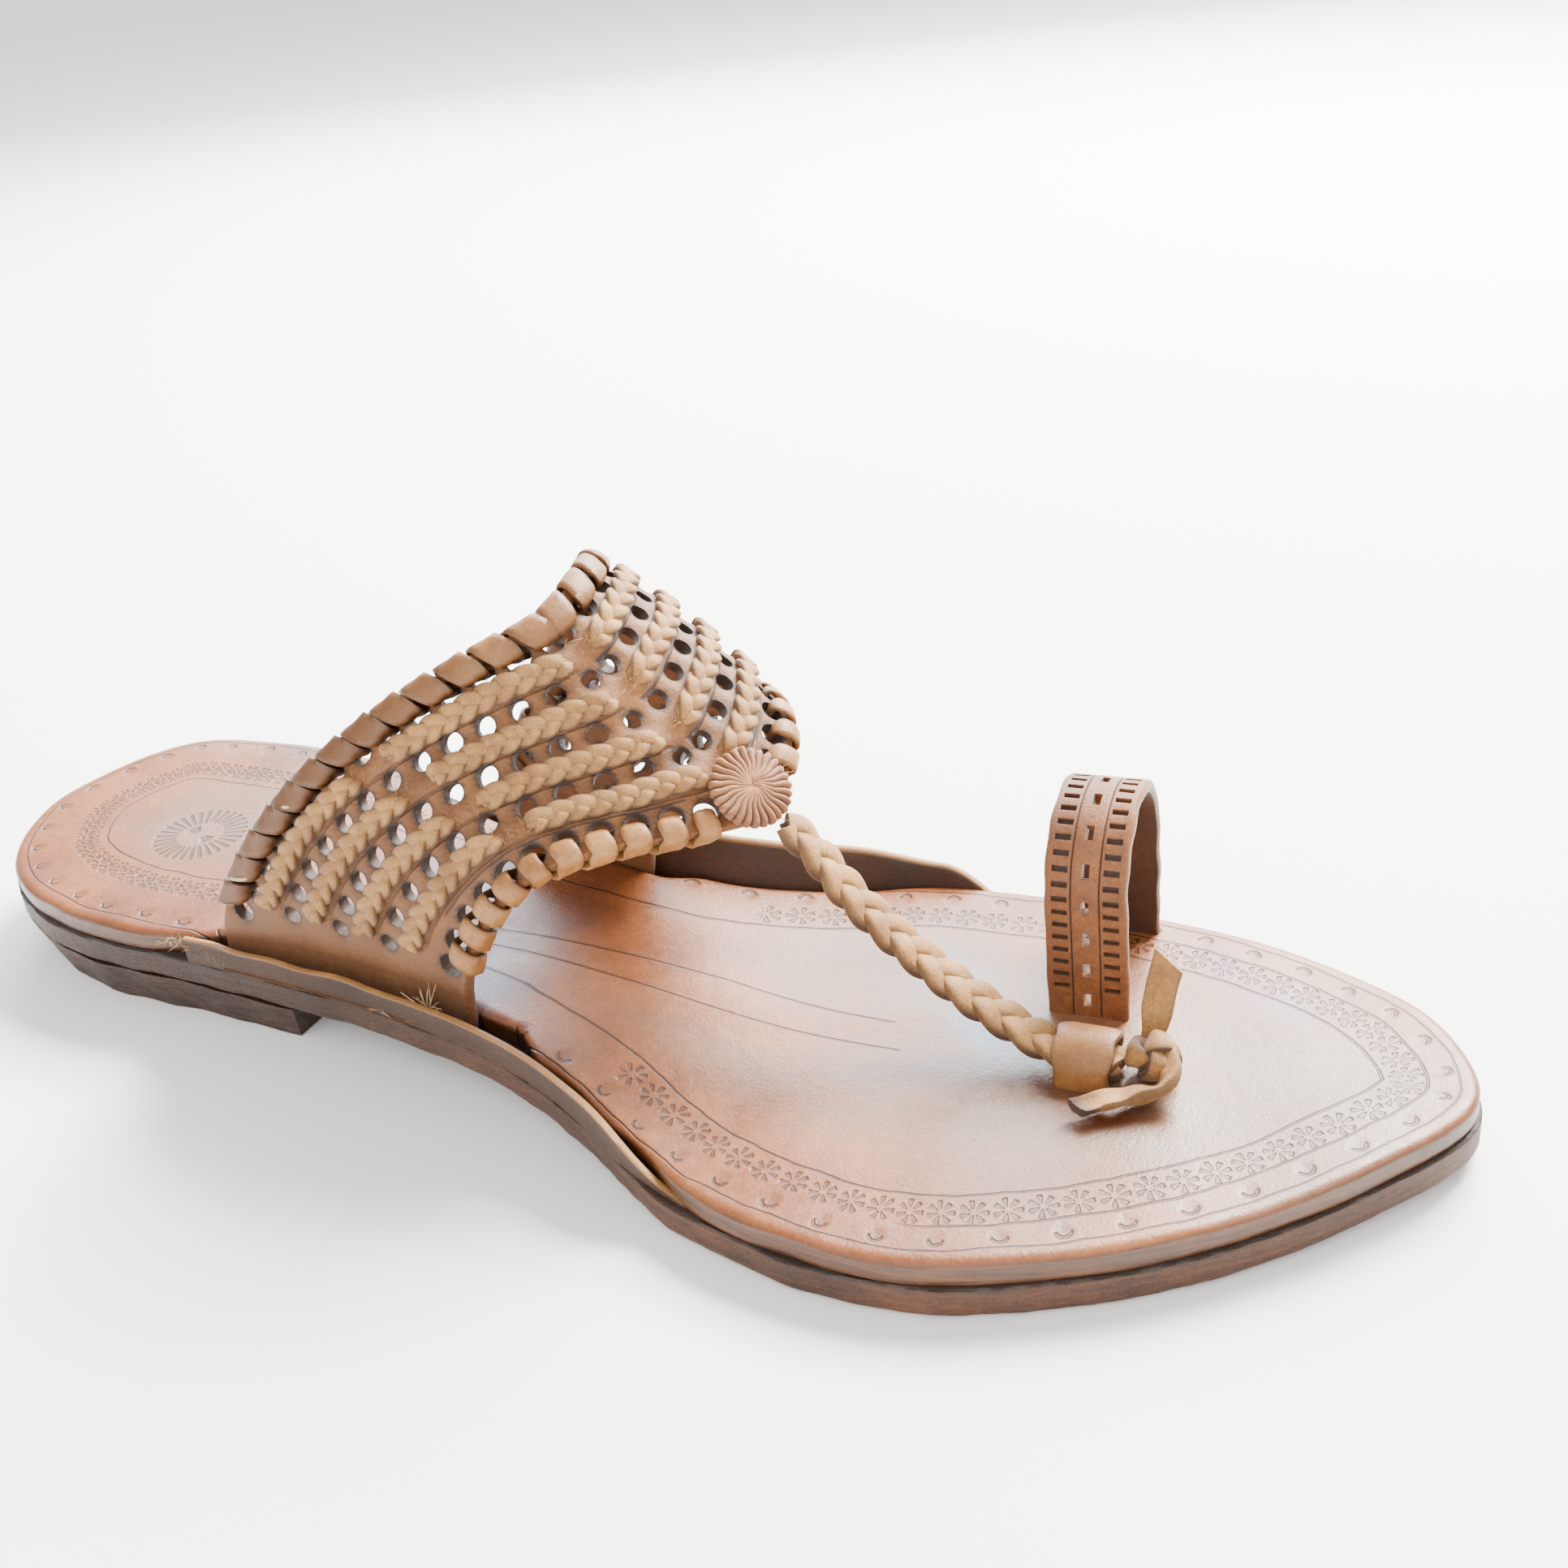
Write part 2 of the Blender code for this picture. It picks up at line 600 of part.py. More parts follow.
def arched_strap(name, place, turn, span, rise, width, thick, count):
    """Flat strap bent over as an arch, with both feet let into the insole."""
    x0, y0 = place[0] * LENGTH, place[1] * BALL_WIDTH
    foot = INSOLE_THICK
    path = arch_path(span - thick, rise - thick / 2, foot, count)
    along = np.gradient(path, axis=0)
    along /= np.linalg.norm(along, axis=1)[:, None]
    normal = np.stack([-along[:, 1], along[:, 0]], axis=1)
    floor = float(footbed(x0))
    rings = []
    for (across, height), (n_y, n_z) in zip(path, normal):
        ring = []
        for end, off in ((-1, -1), (1, -1), (1, 1), (-1, 1)):
            dx = end * width / 2
            dy = across + off * n_y * thick / 2
            dz = height + off * n_z * thick / 2
            ring.append((x0 + dx * math.cos(turn) - dy * math.sin(turn),
                         y0 + dx * math.sin(turn) + dy * math.cos(turn), floor + dz))
        rings.append(ring)
    return loft(name, rings)


def strap_slots(holes, place, turn, span, width, thick):
    """Two slots through the insole for the feet of an arched strap."""
    for side in (-1, 1):
        centre = Matrix.Translation((place[0] * LENGTH, place[1] * BALL_WIDTH, 0))
        centre = centre @ Matrix.Rotation(turn, 4, "Z")
        centre = centre @ Matrix.Translation((0, side * (span - thick) / 2, 0.01))
        size = Matrix.Diagonal((width + 2 * GAP, thick + 2 * GAP, 0.03, 1))
        bmesh.ops.create_cube(holes, size=1, matrix=centre @ size)


def make_ring(finish, collection, cutters):
    """Toe ring with a row of oblong windows along its middle."""
    ring = add_object("toe_ring", arched_strap(
        "toe_ring", RING_PLACE, RING_TURN, RING_SPAN, RING_HEIGHT, RING_WIDTH, RING_THICK, 25),
        finish, collection)
    windows = bmesh.new()
    path = arch_path(RING_SPAN - RING_THICK, RING_HEIGHT - RING_THICK / 2, 0.0, 61)
    run = np.concatenate([[0], np.cumsum(np.linalg.norm(np.diff(path, axis=0), axis=1))])
    for k in range(RING_HOLES):
        mark = run[-1] * (k + 1) / (RING_HOLES + 1)
        across, height = (np.interp(mark, run, path[:, i]) for i in range(2))
        ahead = [np.interp(mark + 1e-4, run, path[:, i]) for i in range(2)]
        tilt = math.atan2(ahead[1] - height, ahead[0] - across)
        place = Matrix.Translation((RING_PLACE[0] * LENGTH, RING_PLACE[1] * BALL_WIDTH,
                                    float(footbed(RING_PLACE[0] * LENGTH))))
        place = place @ Matrix.Rotation(RING_TURN, 4, "Z") @ Matrix.Translation((0, across, height))
        place = place @ Matrix.Rotation(tilt, 4, "X")
        size = Matrix.Diagonal((RING_HOLE_WIDE, RING_HOLE_LONG, 4 * RING_THICK, 1))
        bmesh.ops.create_cube(windows, size=1, matrix=place @ size)
    cut(ring, add_object("ring_window_punch", mesh_from("ring_window_punch", windows), None, cutters))


def loop_span():
    """Outer width of the wrap loop over the thong."""
    return THONG_WIDTH + 2 * (LOOP_ROOM + LOOP_THICK)


def loop_rise():
    """Outer height of the wrap loop above the footbed, over the thong where it comes in."""
    stations, _, heights = zip(*THONG_ROUTE)
    entry = np.interp(LOOP_PLACE[0] - LOOP_WIDTH / 2 / LENGTH, stations, heights)
    return float(entry) + THONG_THICK / 2 * THONG_RIDGE + LOOP_ROOM + LOOP_THICK


def make_loop(finish, collection):
    """Loop that wraps over the thong's foot and goes down through the insole."""
    add_object("thong_wrap", arched_strap(
        "thong_wrap", LOOP_PLACE, LOOP_TURN, loop_span(), loop_rise(), LOOP_WIDTH, LOOP_THICK, 15),
        finish, collection)



def knot_centre():
    """Middle of the knot, which lies on the insole in front of the wrap loop."""
    x, y = KNOT_PLACE[0] * LENGTH, KNOT_PLACE[1] * BALL_WIDTH
    return Vector((x, y, float(footbed(x)) + GAP + KNOT_HEIGHT / 2))


def make_knot(finish, collection):
    """Overhand knot: a flattened lump with the crossing strands raised on it."""
    bm = bmesh.new()
    bmesh.ops.create_icosphere(bm, subdivisions=3, radius=1.0)
    for vertex in bm.verts:
        x, y, z = vertex.co
        strand = math.cos(3.0 * math.atan2(z, y) + 2.2 * x)
        swell = 1 - 0.09 * (1 - strand) * (1 - x * x)
        vertex.co = Vector((x * KNOT_LENGTH, y * KNOT_WIDTH * swell, z * KNOT_HEIGHT * swell)) / 2
        vertex.co.z = max(vertex.co.z, -KNOT_HEIGHT * 0.5 * 0.86)
    knot = add_object("knot", mesh_from("knot", bm), finish, collection)
    knot.data.transform(Matrix.Translation(knot_centre() - Vector((0, 0, KNOT_HEIGHT * 0.07))))


def make_tag(name, start, heading, lift, length, width, finish, collection):
    """Cut end of a strand: a flat strip that narrows to its tip and curls a little."""
    count = 9
    rings = []
    for k in range(count):
        t = k / (count - 1)
        wide = width / 2 * (1 - 0.55 * t ** 2)
        thick = TAG_THICK / 2 * (1 - 0.3 * t)
        climb = lift + 0.35 * t
        centre = start + length * t * Vector((
            math.cos(heading) * math.cos(climb), math.sin(heading) * math.cos(climb),
            math.sin(climb)))
        side = Vector((-math.sin(heading), math.cos(heading), 0.0))
        up = Vector((-math.cos(heading) * math.sin(climb),
                     -math.sin(heading) * math.sin(climb), math.cos(climb)))
        rings.append([centre + side * wide * a + up * thick * b
                      for a, b in ((-1, -1), (1, -1), (1, 1), (-1, 1))])
    add_object(name, loft(name, rings), finish, collection)


def make_tags(finish, collection):
    """The upright tag behind the knot and the one that lies in front of it."""
    x, y = TAG_UP_PLACE[0] * LENGTH, TAG_UP_PLACE[1] * BALL_WIDTH
    start = Vector((x, y, float(footbed(x)) + GAP + TAG_THICK))
    make_tag("knot_tag_up", start, math.radians(80), math.radians(68), TAG_UP_LENGTH,
             TAG_UP_WIDTH, finish, collection)
    centre = knot_centre()
    out = Vector((0.45 * KNOT_LENGTH, -0.62 * KNOT_WIDTH, 0))
    start = centre + out
    start.z = float(footbed(centre.x)) + GAP + TAG_THICK
    make_tag("knot_tag_front", start, TAG_FRONT_HEADING, 0.0, TAG_FRONT_LENGTH,
             TAG_FRONT_WIDTH, finish, collection)


def main():
    """Clear the scene and build the chappal."""
    for old in list(bpy.data.objects):
        bpy.data.objects.remove(old, do_unlink=True)
    chappal = bpy.data.collections.new("kolhapuri_chappal")
    cutters = bpy.data.collections.new("cutters")
    bpy.context.scene.collection.children.link(chappal)
    bpy.context.scene.collection.children.link(cutters)
    tan = material("tan_leather", (0.45, 0.22, 0.08), 0.55)
    brown = material("sole_leather", (0.15, 0.07, 0.03), 0.6)
    insole_leather = material("insole_leather", (0.30, 0.13, 0.05), 0.4)
    plait = material("plait_leather", (0.50, 0.28, 0.12), 0.6)

    insole = make_soles(insole_leather, brown, chappal)
    for name in EARS:
        make_ear(name, tan, chappal)
    make_band(tan, chappal, cutters)
    make_rosette(tan, chappal)
    make_thong(plait, chappal)
    make_ring(tan, chappal, cutters)
    make_loop(tan, chappal)
    make_knot(plait, chappal)
    make_tags(plait, chappal)

    slots = bmesh.new()
    strap_slots(slots, RING_PLACE, RING_TURN, RING_SPAN, RING_WIDTH, RING_THICK)
    strap_slots(slots, LOOP_PLACE, LOOP_TURN, loop_span(), LOOP_WIDTH, LOOP_THICK)
    cut(insole, add_object("slot_punch", mesh_from("slot_punch", slots), None, cutters))
    for piece in list(chappal.objects) + list(cutters.objects):
        piece.data.transform(Matrix.Translation((-HEEL_SEAT, 0, 0)))


main()
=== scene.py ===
import math

import bmesh
import bpy
import numpy as np
from mathutils import Matrix, Vector


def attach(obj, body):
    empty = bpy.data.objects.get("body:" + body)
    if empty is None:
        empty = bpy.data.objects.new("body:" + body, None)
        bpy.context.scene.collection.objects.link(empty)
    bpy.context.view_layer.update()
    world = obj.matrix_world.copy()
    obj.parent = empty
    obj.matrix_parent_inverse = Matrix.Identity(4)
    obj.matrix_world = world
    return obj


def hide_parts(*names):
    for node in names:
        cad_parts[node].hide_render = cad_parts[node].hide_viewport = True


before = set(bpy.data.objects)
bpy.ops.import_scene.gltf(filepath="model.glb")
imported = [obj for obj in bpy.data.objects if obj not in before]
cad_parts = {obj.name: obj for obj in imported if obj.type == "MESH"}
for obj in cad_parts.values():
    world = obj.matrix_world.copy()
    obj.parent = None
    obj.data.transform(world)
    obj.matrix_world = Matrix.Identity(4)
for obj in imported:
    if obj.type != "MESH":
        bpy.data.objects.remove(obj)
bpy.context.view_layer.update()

# The shoe is drawn with the heel's back at x = 0 and moved back by HEEL_SEAT when a
# piece is put in the scene. +Y is the medial side. All sizes are in metres.
MM = 0.001
LENGTH = 0.275
BALL_WIDTH = 0.0915
GAP = 0.0003
HEEL_SEAT = 0.0400
OUTSOLE_THICK = 0.0054
INSOLE_THICK = 0.0039
HEEL_RISE = 0.0094
TOE_SPRING = 0.0020
HEEL_LENGTH = 0.0870
HEEL_TAPER = 0.0030
INSOLE_INSET = 0.0005
EAR_INSET = 0.0002
EAR_THICK = 0.0016
BAND_WALL = 0.0024
INSTEP_RISE = 0.0606
BAND_STATION = 0.40
MEDIAL_BULGE = 0.0022
WALL_STARTS_UPRIGHT = 0.93
BLEND_FROM = 0.80
BRAID_ROWS = (0.180, 0.375, 0.575, 0.770)
HOLE_ROWS = (0.277, 0.475, 0.672)
BRAID_STRETCHES = ((0.03, 0.47), (0.54, 0.87))

# Outline rows: station and half widths, as shares of LENGTH and BALL_WIDTH
OUTLINE = [
    # station, medial, lateral
    (0.040, 0.306, 0.248),
    (0.120, 0.369, 0.355),
    (0.250, 0.349, 0.357),
    (0.400, 0.246, 0.362),
    (0.520, 0.236, 0.415),
    (0.640, 0.397, 0.548),
    (0.760, 0.436, 0.564),
    (0.880, 0.393, 0.381),
    (0.965, 0.263, 0.125),
]
TOE_POINT = 0.067
UNDERSIDE = [
    # station, share of HEEL_RISE, share of TOE_SPRING
    (0.00, 1.00, 0.0),
    (0.22, 0.95, 0.0),
    (0.45, 0.78, 0.0),
    (0.65, 0.00, 0.0),
    (0.85, 0.00, 0.0),
    (1.00, 0.00, 1.0),
]
BAND_EDGES = [
    # across, rear x, rear y, rear z, front x, front y, front z
    (-1.00, 0.2655, -0.333, -0.06, 0.4580, -0.360, -0.08),
    (-0.93, 0.2690, -0.333, 0.090, 0.4640, -0.360, 0.075),
    (-0.80, 0.3000, -0.326, 0.323, 0.4836, -0.350, 0.274),
    (-0.60, 0.3490, -0.284, 0.571, 0.5200, -0.306, 0.447),
    (-0.40, 0.4036, -0.219, 0.761, 0.5545, -0.224, 0.480),
    (-0.20, 0.4509, -0.142, 0.884, 0.5890, -0.131, 0.464),
    (0.00, 0.4836, -0.044, 0.950, 0.6145, -0.022, 0.455),
    (0.20, 0.4855, 0.077, 0.998, 0.6109, 0.098, 0.521),
    (0.40, 0.4655, 0.197, 0.959, 0.5890, 0.208, 0.554),
    (0.60, 0.4290, 0.284, 0.769, 0.5600, 0.284, 0.488),
    (0.80, 0.3890, 0.317, 0.455, 0.5236, 0.306, 0.290),
    (0.93, 0.3600, 0.245, 0.100, 0.4840, 0.215, 0.075),
    (1.00, 0.3527, 0.238, -0.06, 0.4727, 0.210, -0.08),
]
EAR_RISE = 0.0062
EAR_FLARE = 0.0034
EARS = {
    # name: side, start and end station, rows of (share, rise, flare)
    "ear_lateral": (-1, 0.236, 0.604, ((0.0, 0.05, 0.0), (0.15, 0.40, 0.75), (0.35, 0.52, 1.0),
                                       (0.60, 0.62, 1.0), (0.80, 0.45, 0.45), (1.0, 0.04, 0.0))),
    "ear_medial": (1, 0.316, 0.676, ((0.0, 0.06, 0.0), (0.15, 0.55, 0.8), (0.40, 0.95, 1.0),
                                     (0.65, 1.00, 1.0), (0.85, 0.60, 0.45), (1.0, 0.04, 0.0))),
}
THONG_ROUTE = [
    # station, y, height above the footbed
    (0.6240, -0.018, 0.0332),
    (0.6420, -0.012, 0.0277),
    (0.6590, -0.014, 0.0222),
    (0.6780, -0.018, 0.0178),
    (0.7010, -0.024, 0.0134),
    (0.7280, -0.033, 0.0092),
    (0.7560, -0.042, 0.0057),
    (0.7860, -0.049, 0.0031),
    (0.8190, -0.047, 0.0024),
]
THONG_WIDTH = 0.0064
THONG_THICK = 0.0036
RING_WIDTH = 0.0128
RING_THICK = 0.0021
RING_SPAN = 0.0268
RING_HEIGHT = 0.0342
RING_TURN = math.radians(6.0)
RING_HOLES = 14
RING_PLACE = (0.7800, 0.235)
LOOP_WIDTH = 0.0092
LOOP_THICK = 0.0013
LOOP_ROOM = 0.0004
LOOP_TURN = math.radians(4.0)
LOOP_PLACE = (0.8010, -0.047)
KNOT_PLACE = (0.8360, -0.030)
KNOT = (0.0092, 0.0086, 0.0082)
TAG_UP_PLACE = (0.8300, 0.0265)


def centripetal_curve(points, steps, closed):
    """Catmull-Rom curve through the points, with knots at the root of the chord."""
    points = np.asarray(points, float)
    if closed:
        points = np.vstack([points[-1], points, points[0], points[1]])
    else:
        points = np.vstack([2 * points[0] - points[1], points, 2 * points[-1] - points[-2]])
    parts = []
    for p0, p1, p2, p3 in zip(points[:-3], points[1:-2], points[2:-1], points[3:]):
        t0 = 0.0
        t1 = t0 + math.sqrt(np.linalg.norm(p1 - p0))
        t2 = t1 + math.sqrt(np.linalg.norm(p2 - p1))
        t3 = t2 + math.sqrt(np.linalg.norm(p3 - p2))
        t = np.linspace(t1, t2, steps, endpoint=False)[:, None]
        a1 = ((t1 - t) * p0 + (t - t0) * p1) / (t1 - t0)
        a2 = ((t2 - t) * p1 + (t - t1) * p2) / (t2 - t1)
        a3 = ((t3 - t) * p2 + (t - t2) * p3) / (t3 - t2)
        b1 = ((t2 - t) * a1 + (t - t0) * a2) / (t2 - t0)
        b2 = ((t3 - t) * a2 + (t - t1) * a3) / (t3 - t1)
        parts.append(((t2 - t) * b1 + (t - t1) * b2) / (t2 - t1))
    if not closed:
        parts.append(points[-2:-1])
    return np.vstack(parts)


def monotone(xs, ys, at):
    """Cubic through a table that never overshoots its rows."""
    xs, ys = np.asarray(xs, float), np.asarray(ys, float)
    at = np.clip(at, xs[0], xs[-1])
    step = np.diff(xs)
    rise = np.diff(ys) / step
    slope = np.zeros(len(xs))
    same = rise[:-1] * rise[1:] > 0
    slope[1:-1][same] = 2 / (1 / rise[:-1][same] + 1 / rise[1:][same])
    slope[0], slope[-1] = rise[0], rise[-1]
    i = np.clip(np.searchsorted(xs, at, side="right") - 1, 0, len(step) - 1)
    t = (at - xs[i]) / step[i]
    return (ys[i] * (1 + 2 * t) * (1 - t) ** 2 + ys[i + 1] * t * t * (3 - 2 * t)
            + step[i] * (slope[i] * t * (1 - t) ** 2 + slope[i + 1] * t * t * (t - 1)))


def smooth_step(low, high, value):
    """0 below low, 1 above high and a soft S between them."""
    t = np.clip((np.asarray(value, float) - low) / (high - low), 0, 1)
    return t * t * (3 - 2 * t)


def unit(vectors):
    """Vectors scaled to length 1."""
    return vectors / np.maximum(np.linalg.norm(vectors, axis=-1, keepdims=True), 1e-12)


def wander(values, seed, count=5):
    """Smooth uneven wave between about -1 and 1: a sum of sines of seeded pitch and phase."""
    dice = np.random.default_rng(seed)
    pitch = dice.uniform(0.6, 2.4, count)
    phase = dice.uniform(0, 2 * math.pi, count)
    return sum(np.sin(values * p + q) for p, q in zip(pitch, phase)) / count * 1.6


def run_along(path):
    """Length of the path up to each of its points."""
    return np.concatenate([[0], np.cumsum(np.linalg.norm(np.diff(path, axis=0), axis=1))])


def evenly(path, count):
    """The same path with its points at even distances, and the length up to each."""
    run = run_along(path)
    marks = np.linspace(0, run[-1], count)
    return np.stack([np.interp(marks, run, path[:, i]) for i in range(path.shape[1])], 1), marks


def underside(x):
    """Height of the outsole's lower face at x."""
    stations, heel, toe = zip(*UNDERSIDE)
    share = np.asarray(x) / LENGTH
    return HEEL_RISE * monotone(stations, heel, share) + TOE_SPRING * monotone(stations, toe, share)


def outsole_top(x):
    """Height of the outsole's upper face at x."""
    return underside(x) + OUTSOLE_THICK


def footbed(x):
    """Height of the insole's upper face at x."""
    return outsole_top(x) + GAP + INSOLE_THICK


def outline_loop():
    """Closed plan outline of the outsole, from the heel point along the lateral side."""
    lateral = [(s * LENGTH, -w * BALL_WIDTH) for s, _, w in OUTLINE]
    medial = [(s * LENGTH, w * BALL_WIDTH) for s, w, _ in OUTLINE]
    points = [(0, 0)] + lateral + [(LENGTH, TOE_POINT * BALL_WIDTH)] + medial[::-1]
    return centripetal_curve(points, 24, closed=True)


LOOP = outline_loop()


def inset_sides(inset):
    """Lateral and medial halves of the outline moved inwards by a size or a function of x."""
    along = np.roll(LOOP, -1, axis=0) - np.roll(LOOP, 1, axis=0)
    inward = unit(np.stack([-along[:, 1], along[:, 0]], axis=1))
    depth = inset(LOOP[:, 0]) if callable(inset) else np.full(len(LOOP), inset)
    moved = LOOP + inward * depth[:, None]
    heel, toe = moved[:, 0].argmin(), moved[:, 0].argmax()
    turned = np.roll(moved, -heel, axis=0)
    split = (toe - heel) % len(moved)
    return turned[:split + 1], np.vstack([turned[split:], turned[:1]])[::-1]


def side_y(x, side, inset):
    """Plan y of the outline on the lateral (-1) or medial (+1) side, moved in by inset."""
    half = inset_sides(inset)[0 if side < 0 else 1]
    order = np.argsort(half[:, 0])
    return np.interp(x, half[order, 0], half[order, 1])


def foot_room(x):
    """How far the insole steps in from the outline to leave room for band feet and ears."""
    share = np.asarray(x) / LENGTH
    ears = smooth_step(0.20, 0.236, share) - smooth_step(0.60, 0.655, share)
    feet = smooth_step(0.236, 0.262, share) - smooth_step(0.485, 0.515, share)
    ear_room = EAR_INSET + EAR_THICK + GAP - INSOLE_INSET
    return INSOLE_INSET + ear_room * ears + (BAND_WALL + GAP) * feet


def band_edge(across, column):
    """Point of the band's rear (column 1) or front (column 4) edge curve."""
    table = np.array(BAND_EDGES)
    floor = float(footbed(BAND_STATION * LENGTH))
    points = table[:, column:column + 3] * (LENGTH, BALL_WIDTH, INSTEP_RISE) + (0, 0, floor)
    curve = centripetal_curve(np.column_stack([points, table[:, 0]]), 16, closed=False)
    return np.stack([np.interp(across, curve[:, 3], curve[:, i]) for i in range(3)], axis=-1)


def band_surface(across, along):
    """Outer face of the band: across runs -1 to 1 over the foot, along rear to front.

    A straight run between the two edge curves, swollen on the medial side, whose feet
    stand upright between ear and insole.
    """
    across, along = np.broadcast_arrays(np.asarray(across, float), np.asarray(along, float))
    rear, front = band_edge(across, 1), band_edge(across, 4)
    point = rear + (front - rear) * along[..., None]
    swell = MEDIAL_BULGE * 4 * along * (1 - along) * np.sin(np.pi * np.clip(across, 0, 1)) ** 2
    point[..., 1] += swell * 0.7
    point[..., 2] += swell * 0.7
    for side in (-1, 1):
        near = side * across
        pull = smooth_step(BLEND_FROM, WALL_STARTS_UPRIGHT, near)
        wall_y = side_y(point[..., 0], side, EAR_INSET + EAR_THICK + GAP)
        point[..., 1] += np.where(near > 0, pull * (wall_y - point[..., 1]), 0)
        down = smooth_step(WALL_STARTS_UPRIGHT, 1.0, near)
        foot_z = outsole_top(point[..., 0]) + GAP
        point[..., 2] += np.where(near > 0, down * (foot_z - point[..., 2]), 0)
    return point


def band_frame(across, along):
    """Face point, outward normal and the two face directions (over the foot, forwards)."""
    d = 0.004
    across, along = np.broadcast_arrays(np.asarray(across, float), np.asarray(along, float))
    over = (band_surface(np.clip(across + d, -1, 1), along)
            - band_surface(np.clip(across - d, -1, 1), along))
    inside = np.clip(along, d, 1 - d)
    forward = band_surface(across, inside + d) - band_surface(across, inside - d)
    return band_surface(across, along), unit(np.cross(forward, over)), unit(over), unit(forward)


def band_depth(across):
    """Distance from rear to front edge over the band's face."""
    return np.linalg.norm(band_surface(across, 1.0) - band_surface(across, 0.0), axis=-1)


def grid(rows, cols, wrap_rows=False, wrap_cols=False):
    """Quads of a grid of points, and the row and column of each corner before wrapping."""
    r, c = np.meshgrid(np.arange(rows if wrap_rows else rows - 1),
                       np.arange(cols if wrap_cols else cols - 1), indexing="ij")
    rr = r.ravel()[:, None] + np.array([0, 0, 1, 1])
    cc = c.ravel()[:, None] + np.array([0, 1, 1, 0])
    return (rr % rows) * cols + cc % cols, (rr, cc)


def tube(rings, closed=False):
    """Skin over a row of closed sections (an array rows x sides x 3), with both ends capped.

    Each end is a fan of triangles round the section's middle, unless the path is closed.
    """
    rows, sides = rings.shape[:2]
    faces = [grid(rows, sides, wrap_rows=closed, wrap_cols=True)[0]]
    points = rings.reshape(-1, 3)
    if not closed:
        ends = np.stack([rings[0].mean(0), rings[-1].mean(0)])
        i = np.arange(sides)
        j = (i + 1) % sides
        first = np.stack([np.full(sides, len(points)), j, i], 1)
        last = np.stack([np.full(sides, len(points) + 1), i, j], 1)
        last[:, 1:] += (rows - 1) * sides
        faces += [first, last]
        points = np.vstack([points, ends])
    return points, faces


def join(parts):
    """Several (points, faces) pairs as one."""
    points, faces, start = [], [], 0
    for part_points, part_faces in parts:
        points.append(part_points)
        faces += [f + start for f in part_faces]
        start += len(part_points)
    return np.vstack(points), faces


def oval(sides, square=2.0):
    """Across and up factors of a section: a circle at square 2 and a soft box above it."""
    angle = 2 * math.pi * (np.arange(sides) + 0.5) / sides
    c, s = np.cos(angle), np.sin(angle)
    power = 2 / square
    return np.sign(c) * np.abs(c) ** power, np.sign(s) * np.abs(s) ** power


def sweep(path, side, up, wide, high, sides=8, square=2.0):
    """Sections carried along a path: half width wide along side and half height high along up."""
    c, s = oval(sides, square)
    wide = np.broadcast_to(wide, len(path))[:, None, None]
    high = np.broadcast_to(high, len(path))[:, None, None]
    return (path[:, None] + side[:, None] * wide * c[None, :, None]
            + up[:, None] * high * s[None, :, None])


def upright_frame(path):
    """Tangent, side and up directions of a path that never runs straight up."""
    tangent = unit(np.gradient(path, axis=0))
    side = unit(np.cross(np.broadcast_to((0.0, 0.0, 1.0), tangent.shape), tangent))
    return tangent, side, np.cross(tangent, side)


def shoe_mesh(name, shape):
    """Mesh of (points, faces), moved from the drawing's place to the frame's."""
    points, faces = shape
    mesh = bpy.data.meshes.new(name)
    rows = [row for block in faces for row in block.tolist()]
    mesh.from_pydata((points - (HEEL_SEAT, 0, 0)).tolist(), [], rows)
    return mesh


def face_outwards(mesh, merge=0.0):
    """Merge points that lie closer than a distance and turn all faces outwards."""
    bm = bmesh.new()
    bm.from_mesh(mesh)
    if merge:
        bmesh.ops.remove_doubles(bm, verts=bm.verts, dist=merge)
    bmesh.ops.recalc_face_normals(bm, faces=bm.faces)
    bm.to_mesh(mesh)
    bm.free()


def shade_smooth(mesh, sharp):
    """Smooth shading that keeps edges sharper than an angle in degrees."""
    mesh.polygons.foreach_set("use_smooth", np.ones(len(mesh.polygons), bool))
    mesh.set_sharp_from_angle(angle=math.radians(sharp))


def with_caps(values, first, last):
    """Values of a tube's skin, then those of the two points that cap its ends."""
    return np.concatenate([np.ravel(values), [first, last]])


def put(name, shape, finish, nodes=(), surface=None, marks=None, sharp=45):
    """Make one piece of the shoe from (points, faces) and ride it on the root body.

    surface holds a (u, v) pair for each face corner, in millimetres, and marks named
    values for each point, a number or a colour.
    """
    mesh = shoe_mesh(name, shape)
    if surface is not None:
        layer = mesh.uv_layers.new(name="surface")
        layer.data.foreach_set("uv", np.asarray(surface, float).ravel())
    for mark, values in (marks or {}).items():
        values = np.asarray(values, np.float32)
        kind = "FLOAT" if values.ndim == 1 else "FLOAT_COLOR"
        field = "value" if values.ndim == 1 else "color"
        mesh.attributes.new(mark, kind, "POINT").data.foreach_set(field, values.ravel())
    face_outwards(mesh, merge=2e-6)
    shade_smooth(mesh, sharp)
    mesh.materials.append(finish)
    piece = bpy.data.objects.new(name, mesh)
    bpy.context.scene.collection.objects.link(piece)
    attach(piece, "root")
    if nodes:
        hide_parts(*nodes)
    return piece


